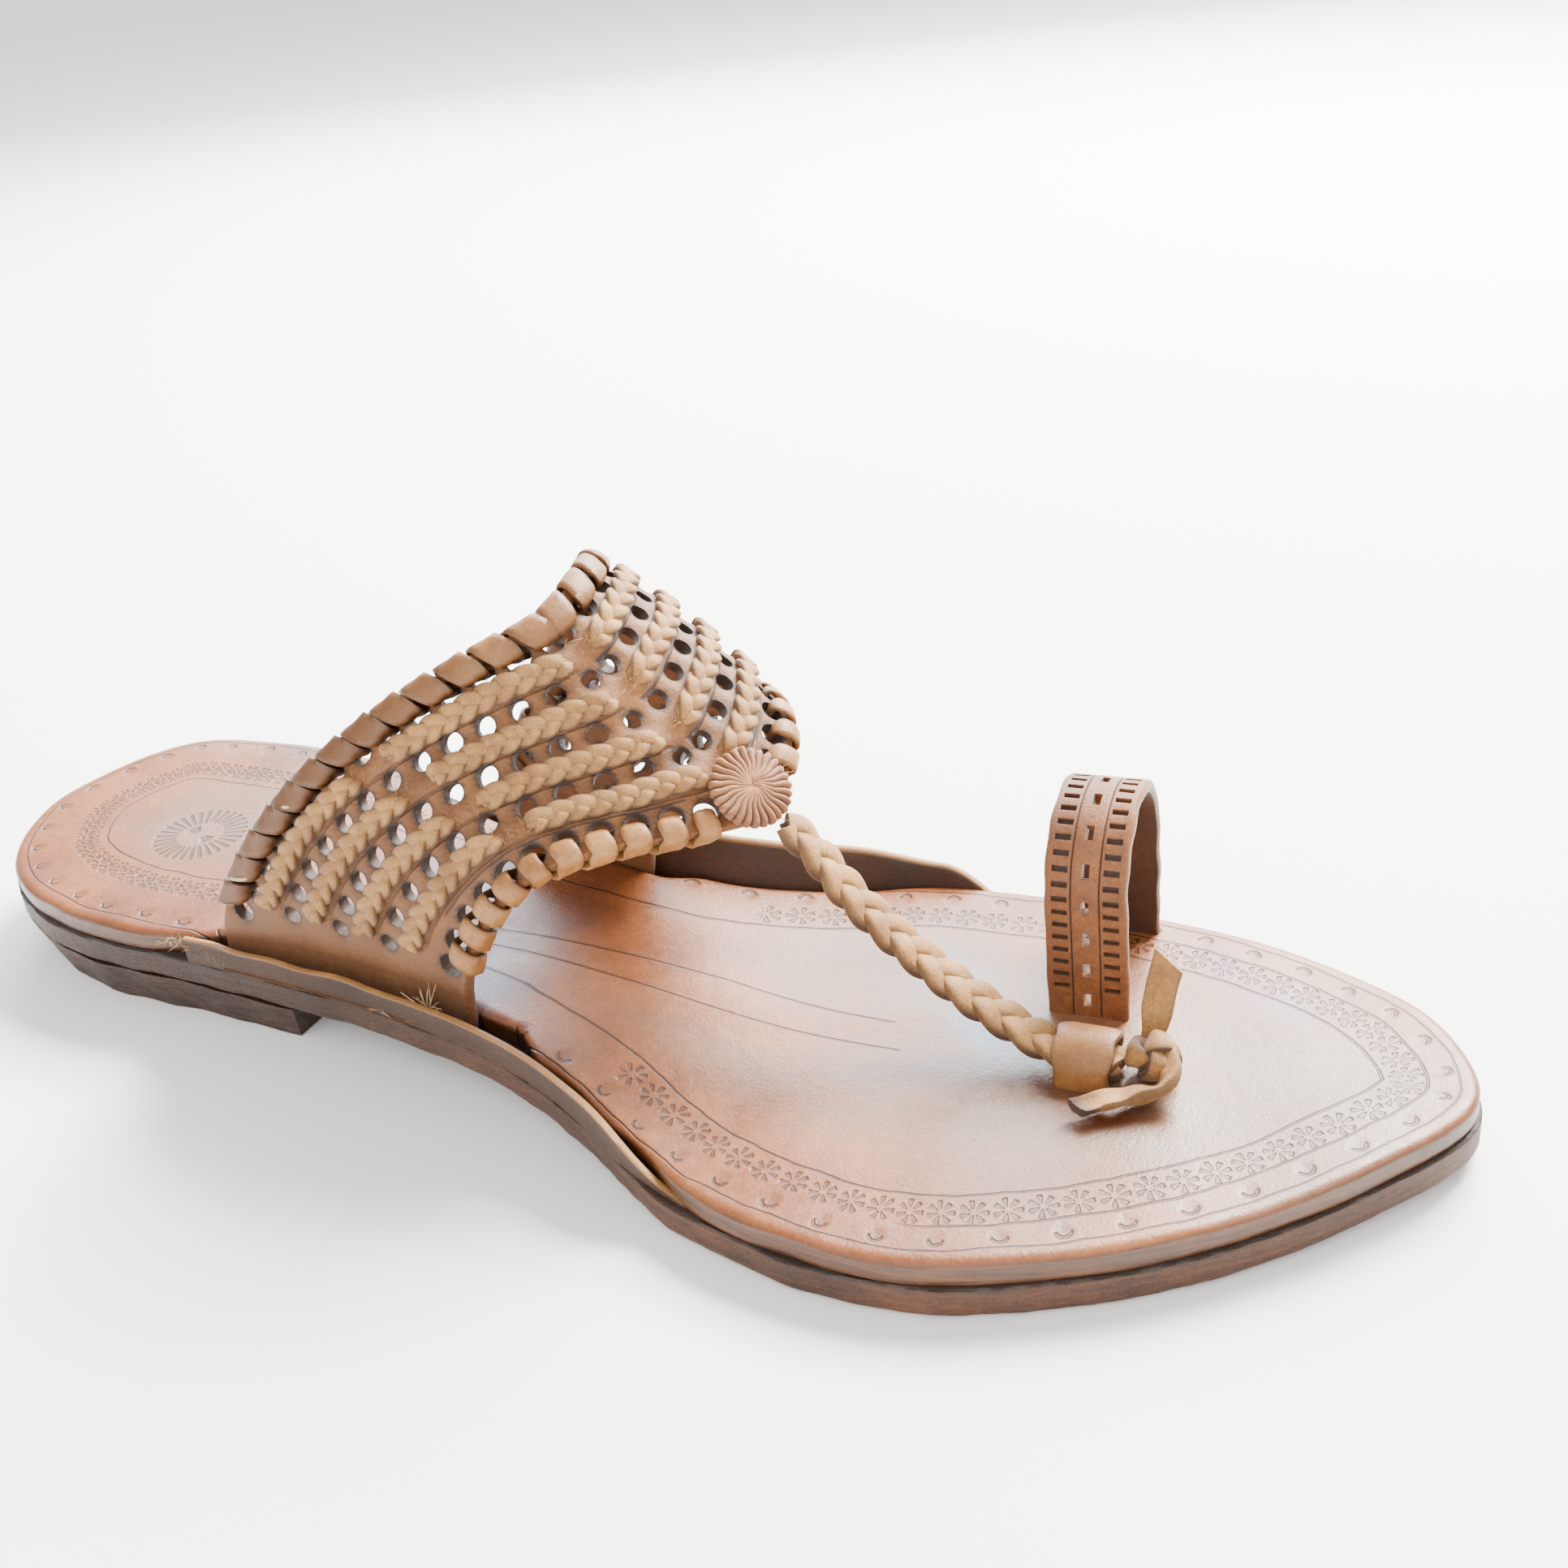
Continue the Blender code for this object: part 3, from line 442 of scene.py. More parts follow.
def cut(piece, cutter_shape):
    """Take a shape away from a piece and keep the result as the piece's own mesh."""
    mesh = shoe_mesh("punch", cutter_shape)
    face_outwards(mesh)
    punch = bpy.data.objects.new("punch", mesh)
    bpy.context.scene.collection.objects.link(punch)
    step = piece.modifiers.new("punched", "BOOLEAN")
    step.operation = "DIFFERENCE"
    step.solver = "MANIFOLD"
    step.object = punch
    bpy.context.view_layer.update()
    done = bpy.data.meshes.new_from_object(
        piece.evaluated_get(bpy.context.evaluated_depsgraph_get()))
    piece.modifiers.clear()
    piece.data = done
    bpy.data.objects.remove(punch)
    shade_smooth(done, 40)


# Finishes


def srgb(text):
    """Linear colour of an sRGB hex value."""
    parts = [int(text[i:i + 2], 16) / 255 for i in (1, 3, 5)]
    return tuple(c / 12.92 if c <= 0.04045 else ((c + 0.055) / 1.055) ** 2.4 for c in parts) + (1.0,)


def add(tree, kind, inputs=(), stops=(), **settings):
    """Add one node with its settings, socket values and links; returns its first output."""
    node = tree.nodes.new("ShaderNode" + kind)
    for key, value in settings.items():
        setattr(node, key, value)
    for socket, value in dict(inputs).items():
        if isinstance(value, bpy.types.NodeSocket):
            tree.links.new(value, node.inputs[socket])
        else:
            node.inputs[socket].default_value = value
    if stops:
        elements = node.color_ramp.elements
        while len(elements) < len(stops):
            elements.new(0.5)
        for element, (place, colour) in zip(elements, stops):
            element.position = place
            element.color = colour
    return node.outputs[0]


def leather(name, light, dark, painted_shade_and_cut_edge, roughness, blotch=16, nap=0.5, depth=0.10, streak=(1, 1, 1),
            contrast=0.28, sheen=0.0, coat=0.0, detail=None):
    """Vegetable-tanned leather: broad blotches, fine nap, and a marked colour where a point's mark is 1:
    painted shade, on the ears the pale cut edge.

    blotch and nap are pattern sizes in millimetres, and depth the height of the nap.
    streak stretches the nap, and detail adds a pattern of its own to colour and height.
    """
    made = bpy.data.materials.new(name)
    made.use_nodes = True
    tree = made.node_tree
    shader = tree.nodes["Principled BSDF"]
    place = add(tree, "TexCoord").node.outputs["Object"]
    run = add(tree, "Mapping", {0: place, 3: streak})
    broad = add(tree, "TexNoise", {0: place, 2: 1000 / blotch, 3: 3.0, 4: 0.55})
    fine = add(tree, "TexNoise", {0: run, 2: 1000 / nap, 3: 3.0, 4: 0.62})
    middle = add(tree, "TexNoise", {0: run, 2: 260 / nap, 3: 4.0, 4: 0.6})
    share = add(tree, "MapRange", {0: broad, 1: 0.33, 2: 0.67, 3: 0.0, 4: 1.0})
    colour = add(tree, "MixRGB", {0: share, 1: srgb(light), 2: srgb(dark)})
    for noise, low, high in ((fine, 1 - contrast, 1 + contrast * 0.7),
                             (middle, 1 - contrast * 0.7, 1 + contrast * 0.6)):
        shade = add(tree, "MapRange", {0: noise, 1: 0.32, 2: 0.68, 3: low, 4: high})
        colour = add(tree, "MixRGB", {0: 1.0, 1: colour, 2: shade}, blend_type="MULTIPLY")
    height = add(tree, "Math", {0: fine, 1: middle}, operation="ADD")
    rough = add(tree, "MapRange", {0: middle, 1: 0.3, 2: 0.7, 3: roughness - 0.07, 4: roughness + 0.07})
    if detail:
        colour, height, rough = detail(tree, place, colour, height, rough)
    # Painted shade: a per-point mark darkens creases, hole walls, strand crossings and hidden faces; on
    # the ears it is the pale cut edge
    painted_shade_and_edge_mask = add(tree, "Attribute", attribute_name="painted_shade_and_cut_edge").node.outputs["Fac"]
    colour = add(tree, "MixRGB", {0: painted_shade_and_edge_mask, 1: colour, 2: srgb(painted_shade_and_cut_edge)})
    bump = add(tree, "Bump", {"Height": height, "Distance": depth * MM, "Strength": 1.0})
    tree.links.new(colour, shader.inputs["Base Color"])
    tree.links.new(rough, shader.inputs["Roughness"])
    tree.links.new(bump, shader.inputs["Normal"])
    shader.inputs["IOR"].default_value = 1.45
    shader.inputs["Sheen Weight"].default_value = sheen
    shader.inputs["Coat Weight"].default_value = coat
    shader.inputs["Coat Roughness"].default_value = 0.35
    return made


def groove(tree, value, centre, width):
    """1 where value is at centre, falling to 0 at half the width to either side."""
    away = add(tree, "Math", {0: value, 1: -centre}, operation="ADD")
    away = add(tree, "Math", {0: away}, operation="ABSOLUTE")
    return add(tree, "MapRange", {0: away, 1: width * 0.15, 2: width / 2, 3: 1.0, 4: 0.0})


def within(tree, value, low, high, soft):
    """1 where value lies between low and high, with soft ends."""
    rise = add(tree, "MapRange", {0: value, 1: low - soft, 2: low + soft, 3: 0.0, 4: 1.0})
    fall = add(tree, "MapRange", {0: value, 1: high - soft, 2: high + soft, 3: 1.0, 4: 0.0})
    return add(tree, "Math", {0: rise, 1: fall}, operation="MULTIPLY")


def product(tree, *values):
    """Product of several masks."""
    total = values[0]
    for value in values[1:]:
        total = add(tree, "Math", {0: total, 1: value}, operation="MULTIPLY")
    return total


def most(tree, *values):
    """Largest of several masks."""
    total = values[0]
    for value in values[1:]:
        total = add(tree, "Math", {0: total, 1: value}, operation="MAXIMUM")
    return total


def petals(tree, along, away, count, inner, outer, width, turn=0.0):
    """Ring of stamped petals: count wedges from radius inner to outer, in millimetres."""
    angle = add(tree, "Math", {0: away, 1: along}, operation="ARCTAN2")
    wave = add(tree, "Math", {0: angle, 1: count}, operation="MULTIPLY")
    wave = add(tree, "Math", {0: wave, 1: turn}, operation="ADD")
    wave = add(tree, "Math", {0: wave}, operation="COSINE")
    wedge = add(tree, "MapRange", {0: wave, 1: 1 - width, 2: 1 - width * 0.45, 3: 0.0, 4: 1.0})
    flat = add(tree, "CombineXYZ", {0: along, 1: away})
    radius = add(tree, "VectorMath", {0: flat}, operation="LENGTH").node.outputs["Value"]
    return product(tree, wedge, within(tree, radius, inner, outer, 0.18)), radius


# Tints of the insole top: a painted sheen, a painted cool reflection and a real water stain
INSOLE_PAINTED_SHEEN = "#6E5A4B"
INSOLE_PAINTED_REFLECTION = "#5D6E8A"
INSOLE_STAIN = "#4A2208"
NICK_PITCH = 9.2


def insole_detail(tree, place, colour, height, rough):
    """Engraved border lines, a row of flower stamps, awl nicks, a heel sunburst, stains and painted sheen.

    The surface map's u runs round the rim and v in from it, both in millimetres.
    """
    spot = add(tree, "SeparateXYZ", {0: place})
    x = add(tree, "Math", {0: spot, 1: 1000}, operation="MULTIPLY")
    y = add(tree, "Math", {0: spot.node.outputs[1], 1: 1000}, operation="MULTIPLY")
    rim = add(tree, "SeparateXYZ", {0: add(tree, "UVMap", uv_map="surface")})
    u, v = rim, rim.node.outputs[1]
    shaky = add(tree, "TexNoise", {0: place, 2: 120, 3: 2.0})
    shift = add(tree, "MapRange", {0: shaky, 1: 0.3, 2: 0.7, 3: -0.28, 4: 0.28})
    v = add(tree, "Math", {0: v, 1: shift}, operation="ADD")
    front = add(tree, "MapRange", {0: x, 1: 113, 2: 115, 3: 0.0, 4: 1.0})
    toe = add(tree, "MapRange", {0: x, 1: 165, 2: 172, 3: 0.0, 4: 1.0})
    heel = add(tree, "MapRange", {0: x, 1: 40, 2: 44, 3: 1.0, 4: 0.0})
    # Border lines
    not_heel = add(tree, "Math", {0: 1.0, 1: heel}, operation="SUBTRACT")
    lines = most(
        tree,
        groove(tree, v, 3.1, 0.42),
        product(tree, groove(tree, v, 7.6, 0.55), toe),
        product(tree, groove(tree, v, 13.7, 0.6), not_heel),
        product(tree, groove(tree, v, 18.2, 0.5), heel))
    # Two lines down the middle, drawn closer towards the toe
    for start, end, low, high in (((77, -10.0), (118, -4.0), 72, 118),
                                  ((118, -4.0), (147.5, -2.8), 118, 147.5),
                                  ((78, -14.2), (151, -9.0), 73, 151)):
        slope = (end[1] - start[1]) / (end[0] - start[0])
        at_zero = start[1] - slope * start[0]
        base = add(tree, "Math", {0: x, 1: slope, 2: at_zero}, operation="MULTIPLY_ADD")
        off = add(tree, "Math", {0: y, 1: base}, operation="SUBTRACT")
        stretch = within(tree, x, low, high, 0.4)
        lines = most(tree, lines, product(tree, groove(tree, off, 0, 0.55), stretch))
    # Flower stamps round the forefoot, and a denser row round the heel
    stamps = None
    for pitch, middle, count, inner, outer, where in ((5.4, 10.3, 7, 0.75, 2.35, front),
                                                      (3.7, 13.4, 6, 0.45, 1.75, heel),
                                                      (3.1, 15.4, 5, 0.35, 1.25, heel)):
        part = add(tree, "Math", {0: u, 1: pitch}, operation="DIVIDE")
        part = add(tree, "Math", {0: part}, operation="FRACT")
        along = add(tree, "Math", {0: part, 1: pitch, 2: -pitch / 2}, operation="MULTIPLY_ADD")
        away = add(tree, "Math", {0: v, 1: -middle}, operation="ADD")
        flower, _ = petals(tree, along, away, count, inner, outer, 1.15, 0.6)
        flower = product(tree, flower, where)
        stamps = most(tree, stamps, flower) if stamps else flower
    # Awl nicks in the margin, each a small open hook
    part = add(tree, "Math", {0: u, 1: NICK_PITCH}, operation="DIVIDE")
    part = add(tree, "Math", {0: part}, operation="FRACT")
    along = add(tree, "Math", {0: part, 1: NICK_PITCH, 2: -NICK_PITCH / 2}, operation="MULTIPLY_ADD")
    along = add(tree, "Math", {0: along, 1: shift}, operation="ADD")
    away = add(tree, "Math", {0: v, 1: -5.2}, operation="ADD")
    flat = add(tree, "CombineXYZ", {0: along, 1: away})
    radius = add(tree, "VectorMath", {0: flat}, operation="LENGTH").node.outputs["Value"]
    hook = product(tree, groove(tree, radius, 1.1, 0.75),
                   add(tree, "MapRange", {0: away, 1: -0.35, 2: 0.15, 3: 1.0, 4: 0.0}))
    dent = add(tree, "MapRange", {0: radius, 1: 0.4, 2: 1.9, 3: 1.0, 4: 0.0})
    # Sunburst on the heel seat
    sun_x = add(tree, "Math", {0: x, 1: -1.5}, operation="ADD")
    sun_y = add(tree, "Math", {0: y, 1: 3.0}, operation="ADD")
    rays, far = petals(tree, sun_x, sun_y, 30, 4.6, 9.0, 1.1)
    eyes, _ = petals(tree, sun_x, sun_y, 2, 1.4, 3.4, 0.5, 0.8)
    near = add(tree, "MapRange", {0: far, 1: 3.2, 2: 3.8, 3: 1.0, 4: 0.0})
    sun = most(tree, rays, product(tree, eyes, near))
    pressed = most(tree, stamps, sun)
    # Tones charted on the surface: red a painted sheen on the worn, glossier forefoot, green a water
    # stain, blue a painted cool reflection
    tone = add(tree, "Attribute", attribute_name="tone").node.outputs["Color"]
    stain_and_painted_light = add(tree, "SeparateColor", {0: tone})
    patchy = add(tree, "TexNoise", {0: place, 2: 90, 3: 4.0, 4: 0.6})
    patch = add(tree, "MapRange", {0: patchy, 1: 0.3, 2: 0.7, 3: 0.45, 4: 1.25})
    gloss_and_painted_sheen = product(tree, stain_and_painted_light, patch)
    stain = product(tree, stain_and_painted_light.node.outputs[1], patch)
    painted_cool_reflection = product(tree, stain_and_painted_light.node.outputs[2], patch)
    # The painted sheen and the painted cool reflection are mixed into the colour here, beside the real
    # stain
    for mask, tint in ((gloss_and_painted_sheen, INSOLE_PAINTED_SHEEN), (painted_cool_reflection, INSOLE_PAINTED_REFLECTION), (stain, INSOLE_STAIN)):
        mask = add(tree, "Math", {0: mask, 1: 1.0}, operation="MINIMUM")
        colour = add(tree, "MixRGB", {0: mask, 1: colour, 2: srgb(tint)})
    side = add(tree, "Attribute", attribute_name="side").node.outputs["Fac"]
    flat = add(tree, "Mapping", {0: place, 3: (0.06, 0.06, 1.0)})
    plies = add(tree, "TexNoise", {0: flat, 2: 1500, 3: 3.0, 4: 0.7})
    ply = add(tree, "MapRange", {0: plies, 1: 0.35, 2: 0.65, 3: 0.0, 4: 1.0})
    edge = add(tree, "MixRGB", {0: ply, 1: srgb("#2E190C"), 2: srgb("#5A361B")})
    colour = add(tree, "MixRGB", {0: side, 1: colour, 2: edge})
    dark = add(tree, "Math", {0: most(tree, lines, hook), 1: 0.8}, operation="MULTIPLY")
    dark = most(tree, dark, add(tree, "Math", {0: pressed, 1: 0.72}, operation="MULTIPLY"),
                add(tree, "Math", {0: dent, 1: 0.3}, operation="MULTIPLY"))
    colour = add(tree, "MixRGB", {0: dark, 1: colour, 2: srgb("#1E0E05")})
    sunk = add(tree, "Math", {0: most(tree, lines, pressed, hook), 1: -3.2}, operation="MULTIPLY")
    height = add(tree, "Math", {0: height, 1: sunk}, operation="ADD")
    sunk = add(tree, "Math", {0: dent, 1: -1.6}, operation="MULTIPLY")
    height = add(tree, "Math", {0: height, 1: sunk}, operation="ADD")
    gloss = add(tree, "Math", {0: gloss_and_painted_sheen, 1: -0.10}, operation="MULTIPLY")
    rough = add(tree, "Math", {0: rough, 1: gloss}, operation="ADD")
    return colour, height, rough


def layered_edge(tree, place, colour, height, rough):
    """Cut edge of stacked leather: thin level lines, darker towards the heel."""
    spot = add(tree, "SeparateXYZ", {0: place})
    flat = add(tree, "Mapping", {0: place, 3: (0.06, 0.06, 1.0)})
    plies = add(tree, "TexNoise", {0: flat, 2: 1500, 3: 3.0, 4: 0.7})
    lines = add(tree, "MapRange", {0: plies, 1: 0.35, 2: 0.65, 3: 0.55, 4: 1.2})
    colour = add(tree, "MixRGB", {0: 1.0, 1: colour, 2: lines}, blend_type="MULTIPLY")
    back = add(tree, "MapRange", {0: spot, 1: 0.02, 2: 0.13, 3: 0.62, 4: 0.0})
    colour = add(tree, "MixRGB", {0: back, 1: colour, 2: srgb("#130904")})
    height = add(tree, "Math", {0: plies, 1: 2.0, 2: height}, operation="MULTIPLY_ADD")
    return colour, height, rough


def make_finishes():
    """All finishes of the shoe, by name."""
    return {
        # The fourth colour of each finish is its painted shade; on the ears it is the pale cut edge
        # Grain side of the foot bed, hand polished by wear: satin, mottled, lightly glossy
        "insole": leather("insole_leather_satin_worn", "#8A4E20", "#663412", "#1F0E05", 0.40,
                          blotch=26, nap=0.55, depth=0.07, contrast=0.20, coat=0.12,
                          detail=insole_detail),
        # Cut and burnished edge of the stacked sole: dull, with thin ply lines
        "edge": leather("sole_leather_burnished_edge", "#57331A", "#3C2110", "#120803", 0.55,
                        blotch=20, nap=0.5, depth=0.14, contrast=0.3, detail=layered_edge),
        # Wall of the instep band, oiled and brushed: brown and matt with a little sheen
        "band": leather("band_leather_oiled_suede", "#8C5A2C", "#6B401B", "#190C04", 0.62,
                        blotch=14, nap=0.45, depth=0.11, contrast=0.24, sheen=0.12,
                        detail=band_detail),
        # Undyed split strips: pale, dry and fibrous, with painted shade where the strands cross
        "plait": leather("plait_leather_undyed_split", "#A87A42", "#865A2A", "#2A1507", 0.68,
                         blotch=9, nap=0.4, depth=0.12, contrast=0.26, sheen=0.10),
        # Whipping of the band's edges: the same strip, rubbed smooth and darker behind
        "lace": leather("lace_leather_rubbed", "#A87642", "#80501F", "#201006", 0.50,
                        blotch=10, nap=0.45, depth=0.08, contrast=0.2, detail=lace_detail),
        # Rosette of gathered soft leather: matt with a pink cast
        "rosette": leather("rosette_leather_gathered", "#96623C", "#7A4A28", "#2C140A", 0.70,
                           blotch=8, nap=0.4, depth=0.10, contrast=0.2, sheen=0.15),
        # Toe ring strap, stamped and oiled: even brown suede face
        "ring": leather("ring_leather_stamped", "#7E4A20", "#623614", "#160A04", 0.60,
                        blotch=12, nap=0.4, depth=0.11, contrast=0.26, sheen=0.10),
        # Side flaps, thin and smooth, dark with oil but pale on the cut edge
        "ear": leather("ear_leather_oiled", "#442813", "#2E1A0B", "#8E6234", 0.58,
                       blotch=22, nap=0.5, depth=0.10, contrast=0.25),
        # Waxed cotton sewing thread, twisted: pale and soft
        "thread": leather("thread_cotton_waxed", "#C9B48E", "#AE946A", "#5E4426", 0.75,
                          blotch=4, nap=0.3, depth=0.05, contrast=0.15),
    }


def band_detail(tree, place, colour, height, rough):
    """Slits beside the braids on the medial side, a painted shadow line beside them on the lateral side,
    and the engraved line inside the front edge of the band.

    The surface map's u is the place over the foot and v the place from rear to front, in
    hundredths.
    """
    face = add(tree, "SeparateXYZ", {0: add(tree, "UVMap", uv_map="surface")})
    u, v = face, face.node.outputs[1]
    medial = within(tree, u, 1, 49, 0.6)
    lateral = within(tree, u, -86, -4, 0.6)
    slit_and_shadow_lines = None
    for row in BRAID_ROWS:
        cut_line = product(tree, groove(tree, v, row * 100 + 6.0, 1.7), medial)
        # On the lateral side a painted shadow line beside each braid, half as dark
        shade = product(tree, groove(tree, v, row * 100 + 5.2, 2.2), lateral)
        shade = add(tree, "Math", {0: shade, 1: 0.5}, operation="MULTIPLY")
        slit_and_shadow_lines = most(tree, cut_line, shade, *([slit_and_shadow_lines] if slit_and_shadow_lines else []))
    line = product(tree, groove(tree, v, 84.2, 1.1),
                   most(tree, within(tree, u, -78, -14, 0.6), within(tree, u, 14, 78, 0.6)))
    dark = most(tree, add(tree, "Math", {0: slit_and_shadow_lines, 1: 0.85}, operation="MULTIPLY"),
                add(tree, "Math", {0: line, 1: 0.6}, operation="MULTIPLY"))
    low = add(tree, "MapRange", {0: add(tree, "Math", {0: u}, operation="ABSOLUTE"),
                                 1: 35, 2: 95, 3: 0.0, 4: 0.55})
    colour = add(tree, "MixRGB", {0: low, 1: colour, 2: srgb("#54300F")})
    colour = add(tree, "MixRGB", {0: dark, 1: colour, 2: srgb("#160A04")})
    sunk = add(tree, "Math", {0: most(tree, slit_and_shadow_lines, line), 1: -4.0}, operation="MULTIPLY")
    height = add(tree, "Math", {0: height, 1: sunk}, operation="ADD")
    return colour, height, rough


def lace_detail(tree, place, colour, height, rough):
    """Whipping strips: browner towards the rear of the band and towards its lateral foot."""
    tone = add(tree, "Attribute", attribute_name="brown").node.outputs["Fac"]
    colour = add(tree, "MixRGB", {0: tone, 1: colour, 2: srgb("#5E3815")})
    return colour, height, rough


def ring_sole(levels, heel_to_toe=300):
    """Closed layer of the sole as rings round the outline, with the rim map for each corner.

    levels holds (height function, inset) pairs over the closed section: from the underside's
    middle out to the edge, up it and in to the middle again. An inset is in metres, or a
    function of x. None is the spine, a line along the middle that both halves share, and
    1 plus a share lies that share of the way from the last inset ring to the spine.
    """
    count = heel_to_toe
    half = len(OUTLINE) * 24 + 24
    sides = [LOOP[:half + 1], np.vstack([LOOP[half:], LOOP[:1]])[::-1]]
    sides = [evenly(side, count + 1)[0] for side in sides]
    ring = np.vstack([sides[0], sides[1][-2:0:-1]])
    along = np.roll(ring, -1, axis=0) - np.roll(ring, 1, axis=0)
    inward = unit(np.stack([-along[:, 1], along[:, 0]], axis=1))
    middle = (sides[0] + sides[1]) / 2
    middle[:, 0] = np.clip(middle[:, 0], 0.034, LENGTH - 0.030)
    middle[:, 1] = np.interp(middle[:, 0], sides[0][:, 0], (sides[0][:, 1] + sides[1][:, 1]) / 2)
    spine = np.vstack([middle, middle[-2:0:-1]])
    rows, before = [], None
    for height, inset in levels:
        if inset is None:
            flat = spine
        elif not callable(inset) and inset >= 1:
            flat = before + (spine - before) * (inset - 1)
        else:
            depth = inset(ring[:, 0]) if callable(inset) else inset
            flat = ring + inward * np.broadcast_to(depth, len(ring))[:, None]
            before = flat
        rows.append(np.column_stack([flat, height(flat[:, 0])]))
    points = np.array(rows)
    faces, (rr, cc) = grid(len(rows), len(ring), wrap_cols=True)
    # The rim map: nearest place on the outline and distance in from it
    start = run_along(np.vstack([ring, ring[:1]]))
    tangent = unit(along)
    maps = []
    for row in points:
        away = row[:, None, :2] - ring[None, :, :]
        near = (away ** 2).sum(2).argmin(1)
        off = row[:, :2] - ring[near]
        u = start[near] + (off * tangent[near]).sum(1)
        maps.append(np.stack([u, (off * inward[near]).sum(1)], axis=1))
    maps = np.array(maps) / MM
    maps = np.concatenate([maps, maps[:, :1]], axis=1)
    corner = maps[rr, cc]
    # Where the nearest place jumps from the ring's end to its start, keep one side of it
    whole = start[-1] / MM
    u = corner[:, :, 0]
    u -= np.round((u - u[:, :1]) / whole) * whole
    return points, faces, corner


def blob(x, y, middle, size, turn=0.0):
    """Soft oval spot: 1 in its middle and near 0 at its size."""
    c, s = math.cos(math.radians(turn)), math.sin(math.radians(turn))
    dx, dy = x - middle[0], y - middle[1]
    far = ((dx * c + dy * s) / size[0]) ** 2 + ((dy * c - dx * s) / size[1]) ** 2
    return np.exp(-1.6 * far ** 1.5)


def make_insole(finish):
    """Insole: rounded rim, hand-cut side and a faintly dished top with a charted stain and painted sheen.
    """
    levels = [(lambda x: outsole_top(x) + 0.0002, inset) for inset in (None, 0.012, 0.006)]
    levels.append((lambda x: outsole_top(x) + 0.0001, lambda x: foot_room(x) + 0.0002))
    for rise in np.linspace(0.0006, INSOLE_THICK - 0.0012, 6):
        levels.append((lambda x, r=rise: outsole_top(x) + GAP + r, foot_room))
    for angle in np.linspace(12, 90, 7):
        a = math.radians(angle)
        levels.append((lambda x, a=a: footbed(x) - 0.0012 * (1 - math.sin(a)),
                       lambda x, a=a: foot_room(x) + 0.0017 * (1 - math.cos(a))))
    for depth in np.linspace(0.0026, 0.0065, 6):
        levels.append((footbed, lambda x, d=depth: foot_room(x) + d - 0.0005))
    for share in np.linspace(0.035, 1.0, 34):
        levels.append((footbed, 1 + share))
    points, faces, corner = ring_sole(levels, 330)
    x, y = points[..., 0] / MM, points[..., 1] / MM
    top = np.arange(len(points))[:, None] > 9
    worn = 0.28 * wander(x / 9 + y / 17, 3) + 0.22 * wander(y / 7 - x / 23, 4)
    points[..., 2] += np.where(top, worn * MM * 0.6, 0)
    edge = (np.arange(len(points)) > 2) & (np.arange(len(points)) < 12)
    wave = 0.16 * wander(x / 5.0, 8) * edge[:, None]
    points[..., 1] += wave * MM * np.sign(y)
    # Charted masks: painted sheen, painted cool reflection and a water stain
    gloss_and_painted_sheen = np.maximum.reduce([
        0.95 * blob(x, y, (222, -8), (48, 27)), 0.85 * blob(x, y, (246, 4), (24, 18)),
        0.75 * blob(x, y, (185, 8), (34, 17)), 0.70 * blob(x, y, (42, 0), (22, 17)),
        0.5 * blob(x, y, (170, -22), (26, 8), -10)])
    painted_cool_reflection = np.maximum.reduce([
        1.0 * blob(x, y, (203, -1), (10, 5), -30), 0.85 * blob(x, y, (119, -22), (14, 8), -20),
        0.35 * blob(x, y, (190, 12), (16, 8)), 0.35 * blob(x, y, (238, 24), (14, 6), -30)])
    stain = np.maximum.reduce([
        1.0 * blob(x, y, (226, -13), (9, 5.5), 25), 0.9 * blob(x, y, (219, -11), (8, 5)),
        0.55 * blob(x, y, (203, -13), (16, 4.5), 8), 0.5 * blob(x, y, (212, 27), (9, 7)),
        0.35 * blob(x, y, (150, 20), (24, 4))])
    stain_and_painted_light = np.stack([gloss_and_painted_sheen, stain, painted_cool_reflection, np.ones_like(x)], axis=-1).reshape(-1, 4)
    rows = np.arange(len(points))[:, None]
    # Painted shade on the hidden underside of the insole
    painted_shade_and_cut_edge = np.where(rows < 3, 0.7, 0.0) * np.ones_like(x)
    side_mark = np.clip((12.5 - rows) / 3.0, 0, 1) * np.ones_like(x)
    return put("insole_leather", (points.reshape(-1, 3), [faces]), finish,
               ["insole"], surface=corner,
               marks={"tone": stain_and_painted_light, "painted_shade_and_cut_edge": painted_shade_and_cut_edge.ravel(), "side": side_mark.ravel()})


